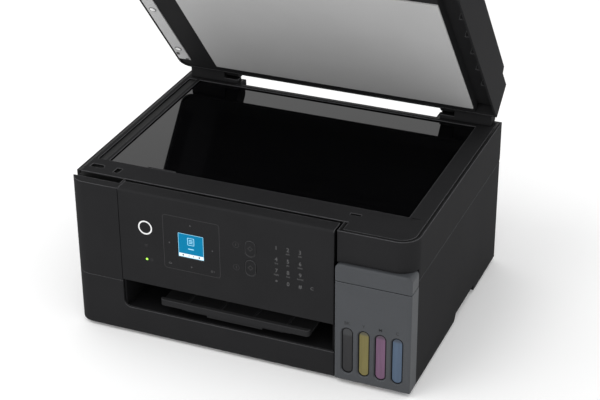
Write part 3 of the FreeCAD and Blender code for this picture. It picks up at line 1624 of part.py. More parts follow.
def make_lid_shell():
    """Outer shell of the lid with the stepped rear, the sheet exit deck and ears for the flaps."""
    body = new_body("lid_shell")
    polygon(body, "Pad", "YZ_Plane", left, right, [
        (lid_rear, lid_under), (lid_rear, lid_under + s.lid_rim_height),
        (lid_rear - s.lid_step, lid_under + s.lid_rim_height),
        (lid_rear - s.lid_step - s.lid_step_run, lid_top), (lid_front, lid_top), (lid_front, lid_under)])
    round_edges(body, "XY", [(left, lid_front), (right, lid_front), (left, lid_rear)], s.lid_radius)
    inner = s.lid_radius - s.lid_wall
    x = (left + s.lid_wall, right - s.lid_wall)
    y = (lid_front + s.lid_wall, lid_rear - s.lid_wall)
    polygon(body, "Pocket", "XY_Plane", lid_under, deck_low, [
        (x[0], y[0], inner), (x[1], y[0], inner), (x[1], y[1]), (x[0], y[1], inner)])
    # Hollow under the feeder unit, open to the roller
    hole_x = (unit_left + s.roller_hole_left, unit_left + s.roller_hole_left + s.roller_hole_width)
    hole_y = (unit_front + s.roller_hole_margin, unit_rear - s.roller_hole_margin)
    block(body, "Subtractive", hole_x, hole_y, (deck_low, lid_top))
    # Deck where sheets come out under the input tray
    block(body, "Subtractive", (hole_x[1], input_right - s.exit_margin),
          (unit_front + s.exit_margin, unit_rear - s.exit_margin), (lid_top - s.exit_sink, lid_top))
    # Ears with pins for the feeder cover and the input tray
    for x_axis in (unit_left + s.flap_axis, input_left + s.flap_axis):
        for near, far in ((unit_front - s.clearance, unit_front - s.clearance - s.flap_ear),
                          (unit_rear + s.clearance, unit_rear + s.clearance + s.flap_ear)):
            ends = sorted_ends(near, far)
            block(body, "Additive", (x_axis - s.flap_axis / 2, x_axis + s.flap_axis / 2), ends,
                  (lid_top, flap_axis_z))
            bar(body, "Additive", "Y", (x_axis, flap_axis_z), s.flap_axis / 2, ends)
            pin = sorted_ends(far, near + (near - far))
            bar(body, "Additive", "Y", (x_axis, flap_axis_z), s.flap_pin_radius, pin)
    # Bearings of the feeder roller on both sides of its hole
    shaft_x = roller_place()[0]
    for near, far in ((hole_y[0], hole_y[0] + s.flap_ear), (hole_y[1] - s.flap_ear, hole_y[1])):
        block(body, "Additive", (shaft_x - s.feed_tyre_radius, shaft_x + s.feed_tyre_radius), (near, far),
              (deck_low, lid_top + s.feed_tyre_radius))
        bar(body, "Subtractive", "Y", roller_place(), s.feed_shaft_radius + s.running_fit, (near, far))
    # Knuckles that turn on the posts' pins
    for side in (-1, 1):
        ends = sorted_ends((s.lid_knuckle_inner) * side, (s.lid_knuckle_inner + s.lid_knuckle_width) * side)
        polygon(body, "Pad", "YZ_Plane", *ends, [
            (lid_rear - s.lid_wall, -s.lid_knuckle_radius), (0, -s.lid_knuckle_radius),
            (0, s.lid_knuckle_radius), (lid_rear - s.lid_wall, s.lid_knuckle_radius)])
        bar(body, "Additive", "X", (0, 0), s.lid_knuckle_radius, ends)
        bar(body, "Subtractive", "X", (0, 0), s.lid_pin_radius + s.running_fit, ends)
    return on_lid(body)


def roller_place():
    return unit_left + s.roller_hole_left + s.roller_hole_width / 2, lid_top + s.feed_shaft_rise


def make_lid_underside():
    """Plate that closes the lid below, with a ribbed channel along its right side."""
    body = new_body("lid_underside")
    x_low = left + s.lid_wall
    x_high = right - s.lid_wall
    step = right - s.channel_left
    low = lid_under + s.under_sink
    deep = low + s.channel_sink
    plate = s.under_plate
    y = (lid_front + s.lid_wall, lid_rear - s.lid_wall)
    polygon(body, "Pad", "XZ_Plane", *y, [
        (x_low, low), (step, low), (step, deep), (x_high, deep), (x_high, deep + plate),
        (step - plate, deep + plate), (step - plate, low + plate), (x_low, low + plate)])
    round_edges(body, "XY", [(x_low, y[0]), (x_low, y[1]), (x_high, y[0])], s.lid_radius)
    first = lid_rear - s.lid_rib_first
    last = first - s.lid_rib_pitch * 4
    rib = block(body, "Additive", (x_high - s.lid_rib_width, x_high), (last - s.lid_rib, last), (low, deep))
    row_of(body, [rib], "Y", s.lid_rib_pitch * 4, 5)
    return on_lid(body)


def make_document_mat():
    body = new_body("document_mat")
    x = left + s.mat_left
    y = lid_rear - s.mat_rear
    block(body, "Additive", (x, x + s.mat_width), (y - s.mat_depth, y),
          (lid_under - s.mat_proud, lid_under + s.under_sink))
    return on_lid(body)


def make_feeder_strip():
    """Pale backing strip opposite the feeder's glass, with round spacer pads."""
    body = new_body("feeder_strip")
    x = left + s.strip_left
    y = lid_rear - s.strip_rear
    block(body, "Additive", (x, x + s.strip_width), (y - s.strip_length, y),
          (lid_under - s.strip_proud, lid_under + s.under_sink))
    middle = x + s.strip_width / 2
    first = lid_rear - s.pad_first
    pad = bar(body, "Additive", "Z", (middle, first - s.pad_pitch * 2), s.pad_radius,
              (lid_under - s.pad_proud, lid_under))
    row_of(body, [pad], "Y", s.pad_pitch * 2, 3)
    return on_lid(body)


def make_feeder_cover():
    """Cover of the document feeder, hollow below and rounded about its hinge edge."""
    body = new_body("feeder_cover")
    low = lid_top + s.clearance
    high = low + s.feeder_unit_height
    polygon(body, "Pad", "XZ_Plane", unit_front, unit_rear, [
        (unit_left, low, s.flap_axis), (unit_right, low), (unit_right, high - s.feeder_unit_height / 3),
        (unit_right - s.roller_hole_left, high), (unit_left, high, s.cover_top_radius)])
    wall = s.flap_axis * 2
    hollow = (unit_left + wall, unit_right - s.lid_wall)
    hollow_y = (unit_front + wall, unit_rear - wall)
    polygon(body, "Pocket", "XZ_Plane", *hollow_y, [
        (hollow[0], low), (hollow[1], low), (hollow[1], high - s.feeder_unit_height / 3 - s.lid_wall / 2),
        (unit_right - s.roller_hole_left, high - s.lid_wall), (hollow[0], high - s.lid_wall)])
    # Entry above the input tray
    entry = low + s.flap_axis * 2 + s.clearance * 2
    block(body, "Subtractive", (hollow[1], unit_right), hollow_y, (entry, entry + s.entry_gap))
    x_axis = unit_left + s.flap_axis
    for near, far in ((unit_front, unit_front + wall / 2), (unit_rear - wall / 2, unit_rear)):
        bar(body, "Subtractive", "Y", (x_axis, flap_axis_z), s.flap_pin_radius + s.running_fit, (near, far))
    return on_lid(body)


def make_input_tray():
    """Hinged sheet input tray with two slots for its edge guides."""
    body = new_body("input_tray")
    low = lid_top + s.clearance
    high = low + s.flap_axis * 2
    plate_low = high - s.input_tray_plate
    polygon(body, "Pad", "XZ_Plane", unit_front, unit_rear, [
        (input_left, low, s.flap_axis), (input_left + s.flap_axis * 2, low),
        (input_left + s.flap_axis * 3, plate_low), (input_right, plate_low), (input_right, high),
        (input_left, high)])
    round_edges(body, "XY", [(input_right, unit_front), (input_right, unit_rear)], s.lid_radius)
    slot_x = input_left + s.slide_slot_left
    block(body, "Subtractive", (slot_x, slot_x + s.slide_slot_width),
          (unit_front + s.slide_slot_margin, unit_rear - s.slide_slot_margin), (plate_low, high))
    x_axis = input_left + s.flap_axis
    for near, far in ((unit_front, unit_front + s.flap_axis), (unit_rear - s.flap_axis, unit_rear)):
        bar(body, "Subtractive", "Y", (x_axis, flap_axis_z), s.flap_pin_radius + s.running_fit, (near, far))
    return on_lid(body)


def make_sheet_guide(label, side):
    """Edge guide of the input tray: a foot on a stem in the slot, and a fence."""
    body = new_body(label)
    tray_top = lid_top + s.clearance + s.flap_axis * 2
    middle = (unit_front + unit_rear) / 2
    inner = middle + s.guide_spread * side
    slot_x = input_left + s.slide_slot_left
    foot_x = (slot_x - s.guide_run / 2, slot_x + s.slide_slot_width + s.guide_run / 2)
    low = tray_top + s.clearance
    foot_y = sorted_ends(inner, inner + s.guide_foot * side)
    block(body, "Additive", foot_x, foot_y, (low, low + s.guide_wall))
    fence_y = sorted_ends(inner, inner + s.guide_wall * side)
    block(body, "Additive", foot_x, fence_y, (low + s.guide_wall, low + s.guide_height))
    stem = (slot_x + s.clearance, slot_x + s.slide_slot_width - s.clearance)
    block(body, "Additive", stem, foot_y, (tray_top - s.input_tray_plate, low))
    return on_lid(body)


def make_sheet_roller():
    """Rubber roller of the document feeder on a cross shaft."""
    x, z = roller_place()
    low = unit_front + s.roller_hole_margin
    high = unit_rear - s.roller_hole_margin
    ear = s.flap_ear + s.clearance
    middle = (low + high) / 2
    body = new_body("sheet_roller")
    bar(body, "Additive", "Y", (x, z), s.feed_shaft_radius, (low, high))
    bar(body, "Additive", "Y", (x, z), s.feed_tyre_radius,
        (middle - s.feed_tyre / 2, middle + s.feed_tyre / 2))
    bar(body, "Additive", "Y", (x, z), s.feed_tyre_radius * 0.6, (low + ear, high - ear))
    return on_lid(body)


# The whole printer

def make_printer():
    motor_x, idler_x = pulley_places()
    pieces = [
        make_outer_housing(), make_base_pan(), make_rubber_feet(), make_left_front_cover(),
        make_front_frame(), make_output_bay(), make_tank_cover(), make_control_panel(), make_lcd_module(),
        make_power_button(),
        make_start_key("copy_key", s.key_high_rise), make_start_key("stop_key", s.key_low_rise),
        make_output_tray(), make_tray_extension(), make_mech_frame(), make_carriage_shaft(), make_platen(),
        make_carriage(), make_carriage_belt(),
        make_pulley("motor_pulley", motor_x, s.axle_radius + s.running_fit),
        make_pulley("idler_pulley", idler_x, s.axle_radius + s.running_fit), make_drive_motors(),
        make_feed_roller(), make_roller("exit_roller", s.exit_y, exit_z, s.exit_core, s.exit_core, 6,
                                        s.exit_tyre, s.exit_radius),
        make_roller("pinch_rollers", s.feed_y, pinch_z, s.axle_radius, s.axle_radius, 6, s.exit_tyre,
                    s.pinch_radius),
        make_roller("star_wheels", s.exit_y, star_z, s.axle_radius, s.axle_radius, 8, s.star_width,
                    s.star_radius),
        make_cap_station(), make_main_board(), make_interface_ports(), make_power_supply(), make_ac_inlet(),
        make_rear_feeder(), make_feeder_guard(), make_paper_support(), make_rear_edge_guide(),
        make_pick_roller(), make_scanner_case(), make_scanner_frame(), make_scanner_glass(),
        make_tank_top_trim(), make_scan_rail(), make_scan_bar(), make_hinge_posts(), make_lid_shell(),
        make_lid_underside(), make_document_mat(), make_feeder_strip(), make_feeder_cover(),
        make_input_tray(),
        make_sheet_guide("front_sheet_guide", -1), make_sheet_guide("rear_sheet_guide", 1),
        make_sheet_roller()]
    for number, ink in enumerate(TANK_INKS):
        pieces.append(make_ink_tank(number, ink))
        pieces.append(make_tank_cap(number, ink))
    return pieces


def check(pieces):
    doc.recompute()
    for item in doc.Objects:
        if "Invalid" in item.State or "Error" in item.State:
            raise RuntimeError(f"{item.Label} did not build: {item.State}")
    for piece in pieces:
        if piece.Shape.isNull() or not piece.Shape.isValid():
            raise RuntimeError(f"{piece.Label} has no valid shape")


printer = make_printer()
check(printer)
os.makedirs("parts", exist_ok=True)
for sub_part in printer:
    sub_part.Shape.exportStep(f"parts/{sub_part.Label}.step")
print(len(printer), "sub-parts")
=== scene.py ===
import json
import math

import bmesh
import bpy
from mathutils import Matrix, Vector


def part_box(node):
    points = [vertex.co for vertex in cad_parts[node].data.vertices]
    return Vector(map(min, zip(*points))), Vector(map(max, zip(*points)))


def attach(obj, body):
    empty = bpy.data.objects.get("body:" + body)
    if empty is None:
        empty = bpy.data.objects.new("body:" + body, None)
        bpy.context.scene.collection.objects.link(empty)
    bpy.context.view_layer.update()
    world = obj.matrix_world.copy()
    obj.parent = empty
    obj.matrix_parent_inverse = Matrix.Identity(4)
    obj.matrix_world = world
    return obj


# Looks of the inkjet printer: moulded plastics, printed marks, lit display, inks, trim, light and camera.
# Lengths are in metres, in the frame of the CAD part: its front faces -Y and it stands on Z = 0.

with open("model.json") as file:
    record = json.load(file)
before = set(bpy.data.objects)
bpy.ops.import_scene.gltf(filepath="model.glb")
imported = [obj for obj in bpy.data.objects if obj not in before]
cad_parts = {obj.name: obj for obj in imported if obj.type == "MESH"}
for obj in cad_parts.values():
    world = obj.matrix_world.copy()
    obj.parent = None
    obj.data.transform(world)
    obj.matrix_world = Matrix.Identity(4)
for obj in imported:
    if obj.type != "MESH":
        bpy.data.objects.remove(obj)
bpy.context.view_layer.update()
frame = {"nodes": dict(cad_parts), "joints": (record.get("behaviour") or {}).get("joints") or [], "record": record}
nodes = frame["nodes"]

MM = 0.001
QUARTER = math.pi / 2


def millimetres(*values):
    """Values in millimetres, as metres."""
    return [value * MM for value in values]


# Colours

def linear(*rgb):
    """Linear colour from 0-255 display values, by the sRGB curve."""
    steps = [channel / 255 for channel in rgb]
    return [s / 12.92 if s <= 0.04045 else ((s + 0.055) / 1.055) ** 2.4 for s in steps] + [1.0]


def scaled(colour, factor):
    """A darker or lighter tone of a colour."""
    return [min(1.0, channel * factor) for channel in colour[:3]] + [1.0]


def tones(colour, low, high):
    """A darker and a lighter tone of a colour."""
    return scaled(colour, low), scaled(colour, high)


def neutral(level):
    """A linear grey."""
    return [level, level, level, 1.0]


WHITE = neutral(1.0)


# Materials

# Sockets of the colour Mix node, whose names are shared with those for numbers and vectors
MIX_FACTOR, MIX_FIRST, MIX_SECOND, MIX_RESULT = 0, 6, 7, 2

# Painted highlight on upward edges: how far it reaches, how far the rounded normal leans there, and how far up it
# points
HIGHLIGHT_RADIUS = 1.0 * MM
HIGHLIGHT_START, HIGHLIGHT_FULL = 0.998, 0.96
UPWARD_START, UPWARD_FULL = 0.15, 0.55

# Painted shade in gaps: how far a wall shades, at which openness, and the tone at the bottom
GAP_REACH = 7 * MM
GAP_SHUT, GAP_OPEN = 0.15, 0.7
GAP_TONE = 0.12


def fill(node, **sockets):
    """Constants on the named sockets of a node, with _ for each blank."""
    for name, value in sockets.items():
        node.inputs[name.replace("_", " ")].default_value = value
    return node


class Material:
    """A node material around one Principled shader, textured in object space."""

    def __init__(self, name):
        self.data = bpy.data.materials.new(name)
        self.data.use_nodes = True
        self.tree = self.data.node_tree
        self.shader = self.tree.nodes["Principled BSDF"]
        self.coords = self.node("ShaderNodeTexCoord").outputs["Object"]

    def node(self, kind, **settings):
        made = self.tree.nodes.new(kind)
        for key, value in settings.items():
            setattr(made, key, value)
        return made

    def link(self, output, target):
        self.tree.links.new(output, target)

    def set(self, **sockets):
        """Constants on the shader."""
        fill(self.shader, **sockets)

    def feed(self, **sockets):
        """Textures into the shader."""
        for name, output in sockets.items():
            self.link(output, self.shader.inputs[name.replace("_", " ")])

    def noise(self, size, detail=2.0, stretch=None):
        """Noise with features of about the given size, stretched along axes if asked."""
        texture = fill(self.node("ShaderNodeTexNoise"), Scale=1 / size, Detail=detail)
        source = self.coords
        if stretch:
            mapping = fill(self.node("ShaderNodeMapping"), Scale=stretch)
            self.link(self.coords, mapping.inputs["Vector"])
            source = mapping.outputs["Vector"]
        self.link(source, texture.inputs["Vector"])
        return texture.outputs["Fac"]

    def axis(self, letter, vector=None):
        """One coordinate of a vector, or of the place on the object."""
        split = self.node("ShaderNodeSeparateXYZ")
        self.link(self.coords if vector is None else vector, split.inputs["Vector"])
        return split.outputs[letter]

    def maths(self, operation, *terms):
        """One step of arithmetic over textures and plain numbers."""
        made = self.node("ShaderNodeMath", operation=operation)
        for term, socket in zip(terms, made.inputs):
            if isinstance(term, bpy.types.NodeSocket):
                self.link(term, socket)
            else:
                socket.default_value = term
        return made.outputs["Value"]

    def ramp(self, source, first, second, low=0.35, high=0.65):
        """A colour that runs from the first to the second while the source runs from low to high."""
        made = self.node("ShaderNodeValToRGB")
        for stop, place, colour in zip(made.color_ramp.elements, (low, high), (first, second)):
            stop.position = place
            stop.color = colour
        self.link(source, made.inputs["Fac"])
        return made.outputs["Color"]

    def spread(self, source, low, high, start=0.3, end=0.7):
        """A number that runs from low to high while the source runs from start to end."""
        made = fill(self.node("ShaderNodeMapRange"), From_Min=start, From_Max=end, To_Min=low, To_Max=high)
        self.link(source, made.inputs["Value"])
        return made.outputs["Result"]

    def product(self, first, second):
        """Two textures multiplied."""
        made = self.node("ShaderNodeMix", data_type="RGBA", blend_type="MULTIPLY")
        made.inputs[MIX_FACTOR].default_value = 1.0
        self.link(first, made.inputs[MIX_FIRST])
        self.link(second, made.inputs[MIX_SECOND])
        return made.outputs[MIX_RESULT]

    def painted_edge_highlight(self, colour, highlight_colour):
        """Colour that turns lighter along edges that face upwards: a painted highlight, as of light falling from
        above.
        """
        bevel = fill(self.node("ShaderNodeBevel", samples=4), Radius=HIGHLIGHT_RADIUS)
        bent = bevel.outputs["Normal"]
        facing = self.node("ShaderNodeVectorMath", operation="DOT_PRODUCT")
        self.link(bent, facing.inputs[0])
        self.link(self.node("ShaderNodeNewGeometry").outputs["Normal"], facing.inputs[1])
        edge = self.spread(facing.outputs["Value"], 0.0, 1.0, HIGHLIGHT_START, HIGHLIGHT_FULL)
        upward = self.spread(self.axis("Z", bent), 0.0, 1.0, UPWARD_START, UPWARD_FULL)
        made = self.node("ShaderNodeMix", data_type="RGBA")
        made.inputs[MIX_SECOND].default_value = highlight_colour
        self.link(self.maths("MULTIPLY", edge, upward), made.inputs[MIX_FACTOR])
        self.link(colour, made.inputs[MIX_FIRST])
        return made.outputs[MIX_RESULT]

    def painted_gap_shade(self, colour):
        """Colour that darkens inside gaps, sockets and corners: painted shade, where light doesn't reach."""
        gap = fill(self.node("ShaderNodeAmbientOcclusion", samples=8), Distance=GAP_REACH)
        return self.product(colour, self.spread(gap.outputs["AO"], GAP_TONE, 1.0, GAP_SHUT, GAP_OPEN))

    def bump(self, source, depth, strength):
        """Relief of the surface, from a texture."""
        made = fill(self.node("ShaderNodeBump"), Strength=strength, Distance=depth)
        self.link(source, made.inputs["Height"])
        self.feed(Normal=made.outputs["Normal"])


def moulded(name, colour, roughness, grain=0.4 * MM, depth=0.02 * MM, specular=0.01, edge=6.0):
    """Moulded plastic with a spark-eroded grain and broad, faint flow marks, plus a painted highlight on upward
    edges and painted shade in gaps.
    """
    mottle, flow_size, flow_tone, gloss_spread = 0.12, 40 * MM, 0.94, 0.06
    made = Material(name)
    fine = made.noise(grain, detail=3.0)
    tint = made.product(made.ramp(fine, *tones(colour, 1 - mottle, 1 + mottle)),
                        made.ramp(made.noise(flow_size), neutral(flow_tone), WHITE))
    # Base colour: painted highlight along upward edges, then painted shade in gaps and corners
    made.feed(Base_Color=made.painted_gap_shade(made.painted_edge_highlight(tint, scaled(colour, edge))),
              Roughness=made.spread(fine, roughness - gloss_spread, roughness + gloss_spread))
    made.set(Specular_IOR_Level=specular)
    made.bump(fine, depth, strength=0.6)
    return made.data


def brushed(name, colour, roughness, stretch):
    """Metal with fine drawn lines along one axis."""
    made = Material(name)
    lines = made.noise(size=0.5 * MM, detail=4.0, stretch=stretch)
    made.feed(Base_Color=made.ramp(lines, *tones(colour, 0.85, 1.1)),
              Roughness=made.spread(lines, roughness - 0.08, roughness + 0.1))
    made.set(Metallic=1.0)
    made.bump(lines, depth=0.01 * MM, strength=0.4)
    return made.data


def rubbery(name, colour):
    """Dull rubber with a coarse skin."""
    made = Material(name)
    skin = made.noise(size=0.7 * MM, detail=4.0)
    made.feed(Base_Color=made.ramp(skin, *tones(colour, 0.8, 1.25)),
              Roughness=made.spread(skin, 0.7, 0.9))
    made.set(Specular_IOR_Level=0.25)
    made.bump(skin, depth=0.05 * MM, strength=0.5)
    return made.data


def scanner_pane(name):
    """Dark scanner glass with faint wipe marks; the narrow feeder pane at its left is coated dull."""
    feeder_pane_edge, coat_roughness = -168 * MM, 0.6
    made = Material(name)
    wipes = made.noise(size=9 * MM, detail=3.0, stretch=(0.12, 1.6, 1.0))
    coated = made.maths("LESS_THAN", made.axis("X"), feeder_pane_edge)
    made.feed(Base_Color=made.ramp(wipes, linear(5, 5, 6), linear(9, 9, 10)),
              Roughness=made.maths("MULTIPLY_ADD", coated, coat_roughness, made.spread(wipes, 0.02, 0.05)))
    made.set(IOR=1.55, Specular_IOR_Level=0.3)
    return made.data


def foam_mat(name, colour):
    """Pale document mat: smooth film over fine foam."""
    made = Material(name)
    cells = made.noise(size=0.6 * MM)
    tint = made.product(made.ramp(cells, *tones(colour, 0.97, 1.03)),
                        made.ramp(made.noise(size=60 * MM, detail=1.0), neutral(0.97), WHITE))
    made.feed(Base_Color=tint, Roughness=made.spread(cells, 0.5, 0.62))
    made.set(Specular_IOR_Level=0.2)
    made.bump(cells, depth=0.015 * MM, strength=0.5)
    return made.data


def ink_window(name, ink, film, level):
    """Ink behind a clear tank wall, with a paler film above the fill level."""
    ripple, film_fade, streak_tone = 0.8 * MM, 2.5 * MM, 0.86
    made = Material(name)
    wave = made.noise(size=2.5 * MM, stretch=(1.0, 1.0, 0.08))
    height = made.maths("MULTIPLY_ADD", wave, ripple, made.axis("Z"))
    above = made.spread(height, 0.0, 1.0, level, level + film_fade)
    streaks = made.product(made.ramp(above, ink, film, low=0.0, high=1.0),
                           made.ramp(wave, neutral(streak_tone), WHITE))
    made.feed(Base_Color=streaks, Roughness=made.spread(wave, 0.3, 0.4))
    made.set(Specular_IOR_Level=0.3)
    return made.data


def print_ink(name, colour, roughness=0.45):
    """Screen-printed ink, slightly uneven."""
    made = Material(name)
    fine = made.noise(size=0.25 * MM)
    made.feed(Base_Color=made.ramp(fine, *tones(colour, 0.88, 1.08)),
              Roughness=made.spread(fine, roughness - 0.05, roughness + 0.05))
    made.set(Specular_IOR_Level=0.3)
    return made.data


def lit(name, colour, strength):
    """A lit display area with a fine pixel grid."""
    pixel, gap = 0.6 * MM, 0.04
    made = Material(name)
    grid = fill(made.node("ShaderNodeTexBrick", offset=0.0), Scale=1 / pixel, Mortar_Size=gap, Color1=colour,
                Color2=scaled(colour, 0.96), Mortar=scaled(colour, 0.9))
    upright = fill(made.node("ShaderNodeMapping"), Rotation=(QUARTER, 0, 0))
    made.link(made.coords, upright.inputs["Vector"])
    made.link(upright.outputs["Vector"], grid.inputs["Vector"])
    made.feed(Base_Color=grid.outputs["Color"], Emission_Color=grid.outputs["Color"])
    made.set(Emission_Strength=strength, Roughness=0.3, Specular_IOR_Level=0.05)
    return made.data


BODY = linear(39, 39, 40)
PANEL_FINISH = {"grain": 0.3 * MM, "depth": 0.008 * MM}

LOOKS = {
    "black_plastic": moulded("BlackPlastic", BODY, roughness=0.55),
    "inner_plastic": moulded("InnerPlastic", linear(25, 25, 26), roughness=0.6, edge=2.0),
    "panel_plastic": moulded("PanelPlastic", BODY, roughness=0.5, **PANEL_FINISH),
    "grey_plastic": moulded("GreyPlastic", linear(67, 69, 72), roughness=0.5, specular=0.2, edge=1.9),
    "tray_plastic": moulded("TrayPlastic", linear(42, 42, 43), roughness=0.5, edge=2.4),
    "key_plastic": moulded("KeyPlastic", BODY, roughness=0.48, **PANEL_FINISH),
    "display": moulded("DisplayBezel", linear(22, 22, 24), roughness=0.3),
    "glass": scanner_pane("ScannerGlass"),
    "mat": foam_mat("DocumentMat", linear(184, 184, 184)),
    "pale_plastic": moulded("PalePlastic", linear(190, 190, 190), roughness=0.45, specular=0.2, edge=1.1),
    "steel": brushed("Steel", linear(170, 170, 174), roughness=0.3, stretch=(0.05, 1, 1)),
    "sheet_steel": brushed("SheetSteel", linear(150, 150, 154), roughness=0.4, stretch=(1, 0.06, 1)),
    "rubber": rubbery("Rubber", linear(34, 34, 34)),
    "board": moulded("CircuitBoard", linear(20, 70, 44), roughness=0.4, grain=0.6 * MM),
    "ink_black": ink_window("InkBlack", linear(37, 37, 39), linear(56, 57, 59), level=57 * MM),
    "ink_yellow": ink_window("InkYellow", linear(114, 106, 62), linear(84, 81, 65), level=61 * MM),
    "ink_magenta": ink_window("InkMagenta", linear(108, 79, 104), linear(82, 68, 81), level=61 * MM),
    "ink_cyan": ink_window("InkCyan", linear(74, 91, 112), linear(63, 72, 84), level=61 * MM),
}
WHITE_PRINT = print_ink("WhitePrint", linear(235, 235, 235))
FAINT_PRINT = print_ink("FaintPrint", linear(80, 80, 81))
DIM_PRINT = print_ink("DimPrint", linear(48, 48, 49))
# Near-black print for marks, also used for the dark sheets that paint shade in gaps, sockets, slots and the slit
DARK_PRINT_AND_SHADE = print_ink("DarkPrintAndShade", linear(10, 10, 10))
SCREEN_BLUE = lit("ScreenBlue", linear(4, 106, 144), strength=0.48)
SCREEN_WHITE = lit("ScreenWhite", linear(222, 234, 240), strength=0.3)
SCREEN_ICON = lit("ScreenIcon", linear(150, 208, 232), strength=0.35)
LAMP_GREEN = lit("LampGreen", linear(150, 230, 70), strength=1.6)


# CAD nodes: finish and softened edges

# Widths of the rounded edges, in millimetres
SOFT_EDGES = {
    "outer_housing": 0.7, "left_front_cover": 0.7, "control_panel": 0.6, "tank_cover": 1.0,
    "tank_top_trim": 1.0, "scanner_case": 0.7, "scanner_frame": 0.5, "output_tray": 0.6,
    "output_bay": 0.4, "lid_shell": 1.0, "lid_underside": 0.6, "hinge_posts": 0.8, "document_mat": 0.4,
    "feeder_strip": 0.3, "feeder_cover": 0.8, "input_tray": 0.8, "front_sheet_guide": 0.4,
    "rear_sheet_guide": 0.4, "rear_feeder": 0.6, "feeder_guard": 0.4, "paper_support": 0.4,
    "base_pan": 0.5, "tray_extension": 0.4, "rubber_feet": 0.6,
}
WELD_GAP = 1e-6
FLAT_ANGLE = math.radians(0.5)
SHARP_ANGLE = math.radians(32)


def soften(node, width):
    """Small rounded edges on a moulded piece, made by modifiers so that its mesh stays as it is."""
    weld = node.modifiers.new("Weld", "WELD")
    weld.merge_threshold = WELD_GAP
    flat = node.modifiers.new("Flat", "DECIMATE")
    flat.decimate_type = "DISSOLVE"
    flat.angle_limit = FLAT_ANGLE
    bevel = node.modifiers.new("Edges", "BEVEL")
    bevel.width = width * MM
    bevel.segments = 2
    bevel.limit_method = "ANGLE"
    bevel.angle_limit = SHARP_ANGLE
    bevel.harden_normals = True
    node.modifiers.new("Normals", "WEIGHTED_NORMAL").keep_sharp = True


for part in frame["record"]["subparts"]:
    name = part["node"]
    node = nodes[name]
    node.data.materials.clear()
    node.data.materials.append(LOOKS[part["material_slot"]])
    if name in SOFT_EDGES:
        node.data.shade_smooth()
        soften(node, SOFT_EDGES[name])

# The photo's glass doesn't mirror the lid's pale pieces
for name in ("document_mat", "feeder_strip"):
    nodes[name].visible_glossy = False


# Outlines of the small pieces, as points in x and z

def circle(x, z, radius, count=48):
    """Points on a circle, anticlockwise."""
    return [(x + radius * math.cos(math.tau * k / count), z + radius * math.sin(math.tau * k / count))
            for k in range(count)]


def ring(x, z, outer, inner, count=48):
    """A round band between two radii."""
    return circle(x, z, outer, count), circle(x, z, inner, count)


def rounded(x, z, width, height, radius, steps=6):
    """Corner-rounded rectangle about a centre."""
    points = []
    for quarter, (side, rise) in enumerate(((1, 1), (-1, 1), (-1, -1), (1, -1))):
        corner_x = x + side * (width / 2 - radius)
        corner_z = z + rise * (height / 2 - radius)
        for k in range(steps + 1):
            angle = QUARTER * (quarter + k / steps)
            points.append((corner_x + radius * math.cos(angle), corner_z + radius * math.sin(angle)))
    return points


def border(x, z, outer, inner, steps=6):
    """A rectangular band: each outline is its width, height and corner radius."""
    return rounded(x, z, *outer, steps), rounded(x, z, *inner, steps)


def arrow(x, z, size, turn):
    """A small triangle that points along an angle."""
    return [(x + size * math.cos(turn + k * math.tau / 3), z + size * math.sin(turn + k * math.tau / 3))
            for k in range(3)]


# Builders of the small pieces

# Thickness of a printed mark
PRINT = 0.06 * MM


def finish_piece(name, builder, material, body, matrix=None):
    """A piece from a built mesh, which rides a body and carries a slot."""
    mesh = bpy.data.meshes.new(name)
    builder.to_mesh(mesh)
    builder.free()
    mesh.materials.append(material)
    piece = bpy.data.objects.new(name, mesh)
    bpy.context.scene.collection.objects.link(piece)
    if matrix is not None:
        piece.matrix_world = matrix
    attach(piece, body)
    return piece


def following(items):
    """Each item with the one after it, round to the first."""
    return zip(items, items[1:] + items[:1])


def add_plate(builder, outline, y, thickness):
    """A thin filled shape standing on a plane that faces the front."""
    front, back = ([builder.verts.new((x, level, z)) for x, z in outline] for level in (y - thickness, y))
    builder.faces.new(front)
    builder.faces.new(back[::-1])
    for (near, near_after), (far, far_after) in zip(following(front), following(back)):
        builder.faces.new((near_after, near, far, far_after))


def add_frame(builder, outer, inner, y, thickness):
    """A thin closed band between two outlines with equal numbers of points."""
    corners = ((outer, y - thickness), (inner, y - thickness), (inner, y), (outer, y))
    rings = [[builder.verts.new((x, level, z)) for x, z in outline] for outline, level in corners]
    for index in range(len(outer)):
        after = (index + 1) % len(outer)
        for ring_here, ring_next in following(rings):
            builder.faces.new((ring_here[index], ring_here[after], ring_next[after], ring_next[index]))


def add_dome(builder, matrix, radius, height, rings=5, count=28):
    """A shallow round cap with a closed underside."""
    levels = []
    for k in range(rings):
        angle = QUARTER * k / rings
        rise = height * math.sin(angle)
        levels.append([builder.verts.new(matrix @ Vector((x, y, rise)))
                       for x, y in circle(0, 0, radius * math.cos(angle), count)])
    for lower, upper in zip(levels, levels[1:]):
        for (low, low_after), (high, high_after) in zip(following(lower), following(upper)):
            builder.faces.new((low, low_after, high_after, high))
    builder.faces.new(levels[-1])
    builder.faces.new(levels[0][::-1])


def settle(builder):
    """The builder with all its faces turned outwards."""
    bmesh.ops.recalc_face_normals(builder, faces=builder.faces)
    return builder


def printed(name, shapes, y, material, body="control_panel", thickness=PRINT,
            matrix=None):
    """Printed marks: each shape is one outline, or a pair of outlines for a band."""
    builder = bmesh.new()
    for shape in shapes:
        if isinstance(shape[0][0], tuple):
            add_frame(builder, *shape, y, thickness)
        else:
            add_plate(builder, shape, y, thickness)
    return finish_piece(name, settle(builder), material, body, matrix)


